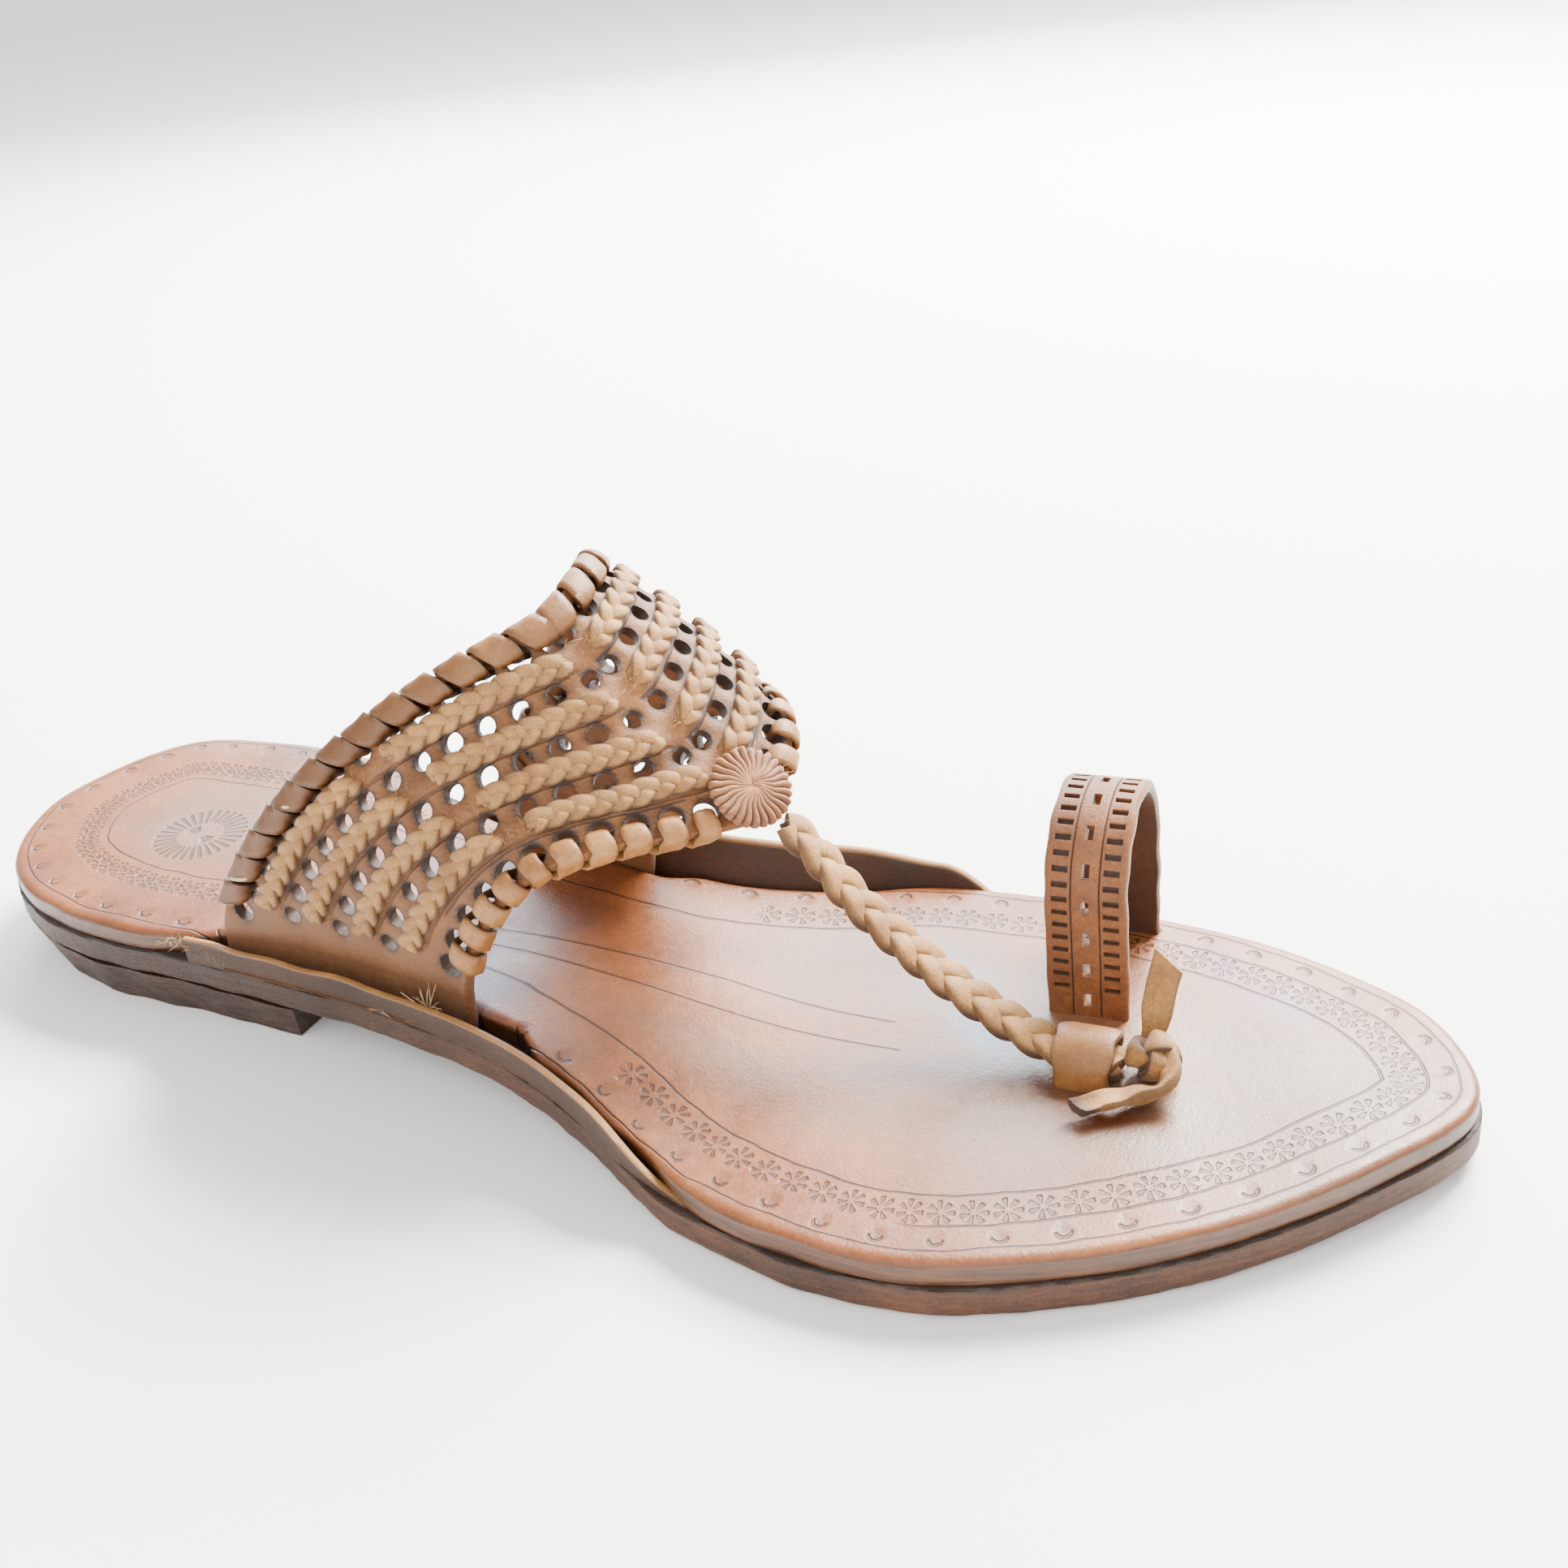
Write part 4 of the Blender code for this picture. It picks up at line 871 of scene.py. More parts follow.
def make_outsole(finish):
    """Outsole: hand-cut edge with a rounded lower corner, slightly uneven all round."""
    levels = [(underside, None), (underside, 0.012), (underside, 0.004)]
    for angle in np.linspace(0, 90, 5):
        a = math.radians(angle)
        levels.append((lambda x, a=a: underside(x) + 0.0012 * (1 - math.cos(a)),
                       lambda x, a=a: 0.0014 * (1 - math.sin(a))))
    for rise in np.linspace(0.0018, OUTSOLE_THICK - 0.0003, 6):
        levels.append((lambda x, r=rise: underside(x) + r, 0.0))
    levels += [(outsole_top, 0.0004), (outsole_top, 0.008), (outsole_top, None)]
    points, faces, corner = ring_sole(levels, 330)
    x, y = points[..., 0] / MM, points[..., 1] / MM
    rows = np.arange(len(points))[:, None]
    wave = (0.22 * wander(x / 4.0, 12) + 0.10 * wander(x / 1.3 + rows, 13)) * ((rows > 3) & (rows < 14))
    points[..., 1] += wave * MM * np.sign(y)
    # Painted shade on the outsole's top face under the insole and along its upper edge
    painted_shade_and_cut_edge = np.where(rows > 13, 0.8, np.where(rows == 13, 0.5, 0.0)) * np.ones_like(x)
    return put("outsole_leather", (points.reshape(-1, 3), [faces]), finish,
               ["outsole"], surface=corner, marks={"painted_shade_and_cut_edge": painted_shade_and_cut_edge.ravel()})


def make_heel(finish):
    """Heel block of stacked lifts: sections across the shoe, tapering in towards the floor."""
    plies = 7
    levels = []
    for k in range(plies):
        for part in (0.06, 0.5, 0.94):
            share = (k + part) / plies
            bulge = 0.00018 if part == 0.5 else 0.0
            levels.append((share, HEEL_TAPER * (1 - share) + 0.0003 - bulge))
    count = 60
    ease = 1 - np.cos(np.pi / 2 * np.linspace(0, 1, count))
    sections = []
    for share, inset in levels:
        lateral, medial = inset_sides(inset)
        low, high = lateral[0, 0], HEEL_LENGTH - inset
        x = low + 0.0001 + (high - low - 0.0001) * ease
        z = (underside(x) - 0.0001) * share
        uneven = 0.00022 * wander(x / MM / 4, 21) + 0.00010 * wander(x / MM / 1.5 + share * 40, 22)
        halves = []
        for half, turn in ((lateral, -1), (medial, 1)):
            order = np.argsort(half[:, 0])
            y = np.interp(x, half[order, 0], half[order, 1]) + turn * uneven
            halves.append(np.stack([x, y, z], axis=1))
        sections.append(halves)
    rings = np.array([[side[0] for side in sections], [side[1] for side in sections]])
    rings = np.concatenate([rings[0], rings[1][::-1]]).transpose(1, 0, 2)
    return put("heel_block", tube(rings), finish, ["heel_lift_1", "heel_lift_2"],
               sharp=60)


def make_ear(name, finish):
    """Side flap: a thin strip that flares outwards, with a wavy cut top edge."""
    side, start, end, rows = EARS[name]
    share = np.linspace(0, 1, 220)
    x = LENGTH * (start + (end + 0.030 - start) * share)
    at, rise, flare = zip(*rows)
    seed = 31 if side < 0 else 37
    top = footbed(x) + EAR_RISE * monotone(at, rise, share)
    top += 0.0003 * wander(x / MM / 5, seed) * smooth_step(0, 0.1, share)
    out = EAR_FLARE * monotone(at, flare, share) + 0.00025 * wander(x / MM / 7, seed + 1)
    base = outsole_top(x) - 0.0006
    sink = smooth_step(0.86, 1.0, share)
    top -= 0.0042 * sink
    outer = side_y(x, side, EAR_INSET - 0.0001) - side * 0.0010 * sink
    inner = side_y(x, side, EAR_INSET + EAR_THICK - 0.0003) - side * 0.0008 * sink
    climb = np.concatenate([np.linspace(0, 0.94, 10), [1.0]])
    section = [(t, 0.0) for t in climb] + [(1.012, 0.5)] + [(t, 1.0) for t in climb[::-1]]
    rings, pale = [], []
    for t, across in section:
        lean = out * np.clip(t, 0, 1) ** 1.6 * side
        thin = 0.15 if t > 0.97 and across in (0.0, 1.0) else 0.0
        y = outer + (inner - outer) * (across + thin * (1 - 2 * across)) + lean
        rings.append(np.stack([x, y, base + (top - base) * t], axis=1))
        pale.append(np.full(len(x), smooth_step(0.955, 1.0, t) * 0.95))
    rings = np.array(rings).transpose(1, 0, 2)
    return put(name + "_leather", tube(rings), finish, [name],
               marks={"painted_shade_and_cut_edge": with_caps(np.array(pale).T, 0, 0)}, sharp=70)


def rods(start, end, radius, sides=16, tip=1.0):
    """Straight rods between two rows of points, each closed with a fan at both ends."""
    axis = unit(end - start)
    guide = np.where(np.abs(axis[:, 2:]) > 0.9, (1.0, 0.0, 0.0), (0.0, 0.0, 1.0))
    side = unit(np.cross(guide, axis))
    up = np.cross(axis, side)
    radius = np.broadcast_to(radius, len(start))[:, None, None]
    c, s = oval(sides)
    round_ = side[:, None] * c[None, :, None] + up[:, None] * s[None, :, None]
    points = np.concatenate([start[:, None] + round_ * radius, end[:, None] + round_ * radius * tip,
                             start[:, None], end[:, None]], axis=1)
    i = np.arange(sides)
    j = (i + 1) % sides
    walls = np.stack([i, j, j + sides, i + sides], 1)
    caps = np.vstack([np.stack([np.full(sides, 2 * sides), j, i], 1),
                      np.stack([np.full(sides, 2 * sides + 1), i + sides, j + sides], 1)])
    step = (np.arange(len(start)) * (2 * sides + 2))[:, None, None]
    return points.reshape(-1, 3), [(walls + step).reshape(-1, 4), (caps + step).reshape(-1, 3)]


def even_across(along, low, high, pitch):
    """Places over the foot between low and high at an even pitch along one row."""
    across = np.linspace(low, high, 200)
    points = band_surface(across, along)
    run = run_along(points)
    return np.interp(np.linspace(0, run[-1], max(2, round(run[-1] / pitch) + 1)), run, across)


LACE_HOLE = 0.0042


def lace_places(front, side):
    """Places of the lace holes along one edge on one side, from the middle outwards."""
    if front:
        return even_across(1 - 0.085, side * 0.125, side * 0.89, 0.0054)
    return even_across(0.08, side * 0.02, side * 0.90, 0.0061)


def band_holes():
    """Centres, normals and radii of all holes in the band."""
    centres, normals, radii = [], [], []
    for row, shift in zip(HOLE_ROWS, (0.0, 0.35, 0.1)):
        for side in (-1, 1):
            across = even_across(row, side * 0.035 * (1 + shift), side * 0.885, 0.0062)
            point, normal, _, _ = band_frame(across, np.full(len(across), row))
            centres.append(point)
            normals.append(normal)
            radii.append(0.00168 + 0.00012 * wander(across * 40, 5))
    for front in (False, True):
        for side in (-1, 1):
            across = lace_places(front, side)
            along = LACE_HOLE / band_depth(across)
            along = 1 - along if front else along
            point, normal, _, _ = band_frame(across, along)
            centres.append(point)
            normals.append(normal)
            radii.append(np.full(len(across), 0.00205) + 0.0001 * wander(across * 50, 6))
    return np.vstack(centres), np.vstack(normals), np.concatenate(radii)


def make_band(finish):
    """Instep band: one leather wall, dished round each hole and swollen under the braids."""
    across = even_across(0.5, -1, 1, 0.00085)
    along = np.linspace(0.012, 0.988, 66)
    nose = np.linspace(80, -80, 5)
    section = [(v, 0.0, True) for v in along]
    section += [(0.988 + 0.012 * math.cos(math.radians(a)), (math.sin(math.radians(a)) - 1) / 2, False)
                for a in nose]
    section += [(v, -1.0, False) for v in along[::-3]]
    section += [(0.012 - 0.012 * math.cos(math.radians(a)), (math.sin(math.radians(a)) - 1) / 2, False)
                for a in nose[::-1]]
    v = np.array([s[0] for s in section])
    drop = np.array([s[1] for s in section])
    outer = np.array([s[2] for s in section])
    a_grid, v_grid = np.meshgrid(across, v, indexing="ij")
    point, normal, _, _ = band_frame(a_grid, v_grid)
    centres, normals, radii = band_holes()
    flat = point.reshape(-1, 3)
    gap = np.linalg.norm(flat[:, None] - centres[None], axis=2) - radii[None]
    gap = gap.min(1).reshape(a_grid.shape)
    dish = -0.00042 * np.exp(-(np.clip(gap, 0, 1) / 0.0009) ** 2)
    raised = np.zeros_like(a_grid)
    for row in BRAID_ROWS:
        depth = band_depth(across)[:, None]
        near = np.exp(-((v_grid - row) * depth / 0.0024) ** 2)
        for low, high in BRAID_STRETCHES:
            inside = smooth_step(low - 0.02, low + 0.02, np.abs(a_grid)) * \
                smooth_step(high + 0.02, high - 0.02, np.abs(a_grid))
            raised += 0.0005 * near * inside
        stub = np.exp(-((np.abs(a_grid) - 0.505) / 0.028) ** 2) * near
        raised += 0.0009 * stub * (0.6 + 0.6 * wander(a_grid * 160 + v_grid * 60, 9))
    lumpy = 0.00016 * wander(a_grid * 30, 15) * wander(v_grid * 14 + 3, 16)
    relief = np.where(outer[None], dish + raised + lumpy, 0) + drop[None] * BAND_WALL
    rings = point + normal * relief[..., None]
    shape = tube(rings)
    _, (rr, cc) = grid(len(across), len(v), wrap_cols=True)
    u_map = across * 100
    v_map = np.where(outer | (drop > -0.9), v, 0) * 100
    corner = np.stack([u_map[rr], v_map[cc % len(v)]], axis=-1).reshape(-1, 2)
    spare = np.zeros((sum(f.size for f in shape[1][1:]), 2))
    band = put("instep_band_leather", shape, finish, ["instep_band"],
               surface=np.vstack([corner, spare]))
    cut(band, rods(centres - normals * 0.006, centres + normals * 0.003, radii, 20))
    mesh = band.data
    where = np.empty(len(mesh.vertices) * 3)
    mesh.vertices.foreach_get("co", where)
    where = where.reshape(-1, 3) + (HEEL_SEAT, 0, 0)
    off = where[:, None] - centres[None]
    level = (off * normals[None]).sum(2)
    gap = np.linalg.norm(off - level[..., None] * normals[None], axis=2) - radii[None]
    gap = np.where(np.abs(level) < 0.005, gap, 1).min(1)
    # Painted shade on the hole walls and in a soft ring round each hole's rim
    inside = (gap < 0.00012) * 0.9
    rim = 0.30 * np.exp(-(np.clip(gap, 0, 1) / 0.0008) ** 2)
    painted_shade_and_cut_edge = mesh.attributes.new("painted_shade_and_cut_edge", "FLOAT", "POINT")
    painted_shade_and_cut_edge.data.foreach_set("value", np.maximum(inside, rim).astype(np.float32))
    return band


def plait(path, side, up, period, swing, hump, half_wide, half_high, lift=0.0, squeeze=1.0,
          sides=10):
    """Three strands plaited along a path, and the painted shade at each point.

    Strand k swings aside by the sine of its phase and lies over or under by the sine of
    twice that; its flat section turns with its own direction.
    """
    run = run_along(path)
    squeeze = np.broadcast_to(squeeze, len(path))
    lift = np.broadcast_to(lift, len(path))
    parts, marks = [], []
    c, _ = oval(sides, 2.6)
    for k in range(3):
        phase = 2 * math.pi * (run / period + k / 3)
        middle = (path + side * (swing * squeeze * np.sin(phase))[:, None]
                  + up * (lift + hump * np.sin(2 * phase))[:, None])
        tangent = unit(np.gradient(middle, axis=0))
        flat = unit(np.cross(up, tangent))
        over = np.cross(tangent, flat)
        parts.append(tube(sweep(middle, flat, over, half_wide * squeeze, half_high, sides, 2.6)))
        # Painted shade on each strand's edges and where it passes under the others
        low = 0.5 - 0.5 * np.sin(2 * phase)
        painted_strand_shade = np.clip(0.75 * np.abs(c)[None, :] ** 4 + 0.35 * low[:, None] ** 2 - 0.05, 0, 0.9)
        marks.append(with_caps(painted_strand_shade, 0.9, 0.9))
    return join(parts), np.concatenate(marks)


def make_braids(finish):
    """Sixteen flat plaits let into the band through slits at both ends."""
    parts, marks = [], []
    for row in BRAID_ROWS:
        for side in (-1, 1):
            for low, high in BRAID_STRETCHES:
                across = np.linspace(side * low, side * (high + 0.012), 60)
                fine, _ = evenly(np.column_stack([band_surface(across, row), across]), 150)
                point, normal, _, forward = band_frame(fine[:, 3], np.full(150, row))
                run = run_along(point)
                ends = np.minimum(run, run[-1] - run)
                ramp = smooth_step(0, 0.0022, ends)
                lift = -0.0012 + 0.0021 * ramp
                drift = 0.00025 * wander(run / MM / 6, int(40 + row * 100 + side))
                point = point + forward * drift[:, None]
                shape, painted_shade_and_edge_mask = plait(point, forward, normal, 0.0098, 0.00125, 0.00040, 0.00115,
                                    0.00062, lift, 0.55 + 0.45 * ramp)
                parts.append(shape)
                marks.append(painted_shade_and_edge_mask)
    return put("band_braids", join(parts), finish,
               marks={"painted_shade_and_cut_edge": np.concatenate(marks)}, sharp=80)


LACE_LOOP = [
    # distance in from the edge and height over the outer face, in millimetres; h is the hole
    ("h", 0.0, -1.2), ("h", -0.1, 0.1), ("h", -1.0, 0.80), ("half", 0.0, 0.95), ("edge", 0.5, 0.80),
    ("edge", -0.62, 0.05), ("edge", -0.80, -1.2), ("edge", -0.62, -2.5), ("edge", 0.5, -3.05),
    ("half", 0.0, -3.15), ("h", -1.0, -3.0), ("h", -0.1, -2.5),
]


def whip(places, front, strip, thick, slant, offset=0.0, grow=0.0, sides=8):
    """A strip whipped over the band's edge: a flat coil through each hole in turn.

    One turn is a closed curve in the section of the edge; its place over the foot moves on
    by one hole a turn, with share slant of that on the outer face.
    """
    hole = LACE_HOLE / MM
    base = {"h": hole, "half": hole * 0.5, "edge": 0.0}
    loop = centripetal_curve([(base[k] + q, o) for k, q, o in LACE_LOOP], 3, closed=True)
    turns = len(places) - 1
    q = np.tile(loop[:, 0], turns) * MM
    o = np.tile(loop[:, 1], turns) * MM
    phase = np.tile(np.arange(len(loop)) / len(loop), turns)
    whole = np.repeat(np.arange(turns), len(loop))
    moved = np.where(phase < 0.5, phase / 0.5 * slant, slant + (phase - 0.5) / 0.5 * (1 - slant))
    across = np.interp(whole + moved + offset, np.arange(turns + 1), places)
    inward = np.maximum(q, 0) / band_depth(across)
    along = 1 - inward if front else inward
    point, normal, over, forward = band_frame(across, along)
    beyond = np.minimum(q, 0) * (-1 if front else 1)
    dice = np.random.default_rng(len(places) + 7 * front)
    loose = np.repeat(dice.uniform(-0.15, 0.25, turns), len(loop)) * MM
    outer = np.sin(np.pi * np.clip(phase / 0.5, 0, 1))
    path = (point + forward * beyond[:, None]
            + normal * (o + (loose + grow) * outer * (phase < 0.5))[:, None])
    tangent = unit(np.gradient(path, axis=0))
    side = unit(over - tangent * (over * tangent).sum(1)[:, None])
    up = np.cross(tangent, side)
    at_hole = np.exp(-(np.minimum(phase, 1 - phase) / 0.10) ** 2)
    width = np.repeat(dice.uniform(0.90, 1.06, turns), len(loop)) * strip / 2
    rings = sweep(path, side, up, width * (1 - 0.5 * at_hole), thick / 2, sides, 3.0)
    c, _ = oval(sides, 3.0)
    # Painted shade where the strip goes into its hole and along its edges
    painted_shade_and_edge_mask = np.clip(0.8 * at_hole[:, None] + 0.35 * np.abs(c)[None, :] ** 6, 0, 0.9)
    return tube(rings), with_caps(painted_shade_and_edge_mask, 0.9, 0.9)


def make_lacing(finish, thread):
    """Whipping of both edges on both sides, and the pale thread beside the rear lateral one."""
    parts, marks, brown = [], [], []
    for front in (False, True):
        for side in (-1, 1):
            places = lace_places(front, side)
            strip, slant = (0.0040, 0.75) if front else (0.0052, 0.35)
            shape, painted_shade_and_edge_mask = whip(places, front, strip, 0.0010, slant)
            parts.append(shape)
            marks.append(painted_shade_and_edge_mask)
            far = np.linspace(0, 1, len(painted_shade_and_edge_mask))
            tone = 0.25 * smooth_step(0.5, 1, far) if front else 0.45 + 0.55 * smooth_step(0, 0.5, far)
            brown.append(tone)
    put("edge_lacing", join(parts), finish,
        marks={"painted_shade_and_cut_edge": np.concatenate(marks), "brown": np.concatenate(brown)}, sharp=80)
    places = lace_places(False, -1)
    shape, painted_shade_and_edge_mask = whip(places[3:], False, 0.0007, 0.0006, 0.35, 0.42, 0.0002, 6)
    # The thread carries the whipping's painted shade, fainter
    put("edge_thread", shape, thread, marks={"painted_shade_and_cut_edge": painted_shade_and_edge_mask * 0.4}, sharp=180)


def turned_to(normal, centre, guide=(0.0, 0.0, 1.0)):
    """Matrix that stands a shape drawn on the floor on a face with this normal."""
    z = unit(np.asarray(normal, float))
    x = unit(np.cross(guide, z))
    turn = np.stack([x, np.cross(z, x), z], axis=1)
    return lambda points: points @ turn.T + np.asarray(centre)


def make_rosette(finish):
    """Rosette: a dome of radial pleats that deepen to a scalloped rim, gathered in the middle."""
    pleats, per = 27, 12
    angle = 2 * math.pi * np.arange(pleats * per) / (pleats * per)
    dice = np.random.default_rng(11)
    size = np.repeat(dice.uniform(0.75, 1.2, pleats), per)
    fold = np.abs(np.sin(pleats * angle / 2)) ** 0.75 * size
    radius = 0.0068
    rows = [(0.02, 2.05, 0), (0.10, 2.2, 0.1)]
    rows += [(r, 2.35 - 0.75 * r ** 2, min(1, r * 1.3)) for r in np.linspace(0.18, 0.90, 16)]
    rows += [(0.955, 1.50, 1), (0.99, 1.15, 1), (1.0, 0.75, 1), (0.985, 0.35, 1), (0.93, 0.05, 1),
             (0.6, -0.3, 0.4), (0.05, -0.4, 0)]
    rings, marks = [], []
    for k, (share, height, deep) in enumerate(rows):
        scallop = 1 - 0.10 * deep * (1 - np.clip(fold, 0, 1)) * share
        twist = 0.10 * math.sin(share * 9) * (1 - share)
        r = radius * share * scallop
        lift = (height + 0.62 * deep * (fold - 0.6) * share ** 0.6 * (k < 22)) * MM
        lift += 0.00012 * wander(angle * 3 + share * 4, 17)
        rings.append(np.stack([r * np.cos(angle + twist), r * np.sin(angle + twist), lift], axis=1))
        # Painted shade in the valleys between the pleats, deepest towards the rim
        marks.append(np.clip(1 - fold * 1.5, 0, 1) * 0.9 * deep * smooth_step(0.1, 0.5, share))
    points, faces = tube(np.array(rings))
    centre, normal, _, _ = band_frame(0.0, 0.90)
    place = turned_to(normal, centre + normal * 0.0011)
    return put("pleated_rosette", (place(points), faces), finish, ["rosette"],
               marks={"painted_shade_and_cut_edge": np.concatenate([*marks, [0, 0]])}, sharp=80)


def thong_path(count):
    """Even points down the middle of the toe thong."""
    route = [(s * LENGTH, y * BALL_WIDTH, float(footbed(s * LENGTH)) + h) for s, y, h in THONG_ROUTE]
    return evenly(centripetal_curve(route, 12, closed=False), count)[0]


def make_thong(finish):
    """Toe thong: a full three-strand plait from the band's tip to the toe gap."""
    path = thong_path(330)
    _, side, up = upright_frame(path)
    shape, painted_shade_and_edge_mask = plait(path, side, up, 0.0162, 0.00178, 0.00062, 0.00188, 0.00118, 0.0, 1.0, 14)
    return put("toe_thong_plait", shape, finish, ["toe_thong"],
               marks={"painted_shade_and_cut_edge": painted_shade_and_edge_mask}, sharp=80)


def arch_path(span, rise, foot, count):
    """Half of an oval on two straight legs, as (across, height) with feet at -foot."""
    angle = np.linspace(0, math.pi, count)
    radius = span / 2
    top = np.stack([-radius * np.cos(angle), (rise - radius) + radius * np.sin(angle)], axis=1)
    legs = np.linspace(-foot, rise - radius, 5)[:-1]
    left = np.stack([np.full(len(legs), -radius), legs], axis=1)
    right = np.stack([np.full(len(legs), radius), legs[::-1]], axis=1)
    return np.vstack([left, top, right])


def arch_frame(place, turn, path):
    """Points of an arch in the shoe, with its width direction and its outward direction."""
    x0, y0 = place[0] * LENGTH, place[1] * BALL_WIDTH
    along = unit(np.gradient(path, axis=0))
    c, s = math.cos(turn), math.sin(turn)
    floor = float(footbed(x0))
    points = np.stack([x0 - path[:, 0] * s, y0 + path[:, 0] * c, floor + path[:, 1]], axis=1)
    out = np.stack([along[:, 1] * s, -along[:, 1] * c, along[:, 0]], axis=1)
    return points, np.broadcast_to((c, s, 0.0), points.shape), out


def at_run(run, marks, path):
    """Points of a flat path at the given lengths along it."""
    return np.stack([np.interp(run, marks, path[:, i]) for i in range(2)], axis=1)


def make_ring(finish):
    """Toe ring: an arched strap with two rows of stamped slots, two lines and cut windows.

    The outer face is a height field over run and width; grid lines sit on the edges of
    the slots so that their walls are steep.
    """
    path, marks = evenly(arch_path(RING_SPAN - RING_THICK, RING_HEIGHT - RING_THICK / 2,
                                   INSOLE_THICK * 0.6, 61), 800)
    pitch = 0.00228
    steps = np.array([0, .12, .24, .30, .33, .42, .5, .58, .67, .70, .76, .88])
    turns = int(marks[-1] / pitch)
    run = ((np.arange(turns)[:, None] + steps).ravel() * pitch)
    run = np.append(run, marks[-1])
    point, side, out = arch_frame(RING_PLACE, RING_TURN, at_run(run, marks, path))
    half = np.array([0.0, 0.35, 0.7, 1.1, 1.5, 1.9, 2.05, 2.2, 2.35, 2.6, 2.72, 2.82, 3.3, 3.9, 4.5,
                     5.13, 5.23, 5.5, 5.85]) * MM
    face = np.concatenate([-half[:0:-1], half])
    edge = RING_WIDTH / 2
    wide = np.concatenate([face, [edge - 0.00022, edge, edge, edge - 0.0003],
                           np.linspace(edge - 0.001, -edge + 0.001, 9),
                           [-edge + 0.0003, -edge, -edge, -edge + 0.00022]])
    level = np.concatenate([np.full(len(face), 0.5), [0.42, 0.2, -0.2, -0.46], np.full(9, -0.5),
                            [-0.46, -0.2, 0.2, 0.42]]) * RING_THICK
    part = (run / pitch) % 1
    low, high = 3 * pitch, marks[-1] - 3 * pitch
    slotted = (run > low) & (run < high)
    in_run = smooth_step(0.295, 0.335, part) * smooth_step(0.705, 0.665, part) * slotted
    from_middle = np.abs(wide) / MM
    in_wide = smooth_step(2.71, 2.83, from_middle) * smooth_step(5.24, 5.12, from_middle)
    in_wide[len(face):] = 0
    slot = in_run[:, None] * in_wide[None, :]
    line_cut = np.exp(-((from_middle - 2.2) / 0.11) ** 2)
    line_cut[len(face):] = 0
    uneven = 0.00010 * wander(run / MM / 3, 51)[:, None] * wander(wide / MM / 2, 52)[None, :]
    height = level[None, :] - 0.00075 * slot - 0.00042 * line_cut[None, :] + uneven
    width = wide[None, :] + 0.00015 * wander(run / MM / 2.5, 53)[:, None] * np.sign(wide)[None, :] * (
        np.abs(wide) > 0.0058)[None, :]
    rings = point[:, None] + side[:, None] * width[..., None] + out[:, None] * height[..., None]
    # Painted shade in the stamped slots, in the two cut lines and over the strap's inner face
    painted_shade_and_edge_mask = np.maximum(0.85 * slot, 0.8 * line_cut[None, :]) * np.ones((len(run), 1))
    painted_shade_and_edge_mask[:, len(face) + 3:len(face) + 14] = 0.72
    ring = put("toe_ring_strap", tube(rings), finish, ["toe_ring"],
               marks={"painted_shade_and_cut_edge": with_caps(painted_shade_and_edge_mask, 0, 0)}, sharp=50)
    places = np.linspace(0, marks[-1], RING_HOLES + 2)[1:-1]
    centre, across, _ = arch_frame(RING_PLACE, RING_TURN, at_run(places, marks, path))
    ahead, _, _ = arch_frame(RING_PLACE, RING_TURN, at_run(places + 1e-4, marks, path))
    forward = unit(ahead - centre)
    outward = np.cross(across, forward)
    corners = np.array([(a, b) for a, b in ((-1, -1), (1, -1), (1, 1), (-1, 1))]) * (0.00062, 0.0012)
    box = (centre[:, None] + across[:, None] * corners[None, :, :1]
           + forward[:, None] * corners[None, :, 1:])
    rows = np.concatenate([box - outward[:, None] * 0.004, box + outward[:, None] * 0.004], axis=1)
    cube = np.array([[0, 3, 2, 1], [4, 5, 6, 7], [0, 1, 5, 4], [1, 2, 6, 5], [2, 3, 7, 6], [3, 0, 4, 7]])
    faces = (cube[None] + (np.arange(len(places)) * 8)[:, None, None]).reshape(-1, 4)
    cut(ring, (rows.reshape(-1, 3), [faces]))
    return ring


def loop_rise():
    """Outer height of the wrap loop above the footbed, over the thong where it comes in."""
    stations, _, heights = zip(*THONG_ROUTE)
    entry = np.interp(LOOP_PLACE[0] - LOOP_WIDTH / 2 / LENGTH, stations, heights)
    return float(entry) + THONG_THICK / 2 * 1.10 + LOOP_ROOM + LOOP_THICK


def make_wrap(finish):
    """Loop over the thong's foot: a soft strap with lengthwise puckers."""
    span = THONG_WIDTH + 2 * (LOOP_ROOM + LOOP_THICK) + 0.0006
    path = evenly(arch_path(span - LOOP_THICK, loop_rise() + 0.0005 - LOOP_THICK / 2, 0.0022, 40), 90)[0]
    point, side, out = arch_frame(LOOP_PLACE, LOOP_TURN, path)
    share = np.linspace(-1, 1, len(path))
    wide = LOOP_WIDTH / 2 * (0.94 + 0.08 * np.cos(share * 3)) + 0.0002 * wander(share * 8, 61)
    c, s = oval(40, 5.0)
    rings = sweep(point, side, out, wide, LOOP_THICK / 2, 40, 5.0)
    pucker = 0.00022 * wander(c * 6, 62)[None, :] * (0.6 + 0.4 * wander(share * 4, 63))[:, None]
    rings = rings + out[:, None] * (pucker * (s > 0)[None, :])[..., None]
    # Painted shade along the strap's edges and towards its feet
    painted_shade_and_edge_mask = np.clip(0.55 * np.abs(c)[None, :] ** 8 + 0.35 * np.abs(share)[:, None] ** 6, 0, 0.8)
    return put("thong_wrap_strap", tube(rings), finish, ["thong_wrap"],
               marks={"painted_shade_and_cut_edge": with_caps(painted_shade_and_edge_mask, 0.8, 0.8),
                      "brown": np.full(painted_shade_and_edge_mask.size + 2, 0.35)}, sharp=80)


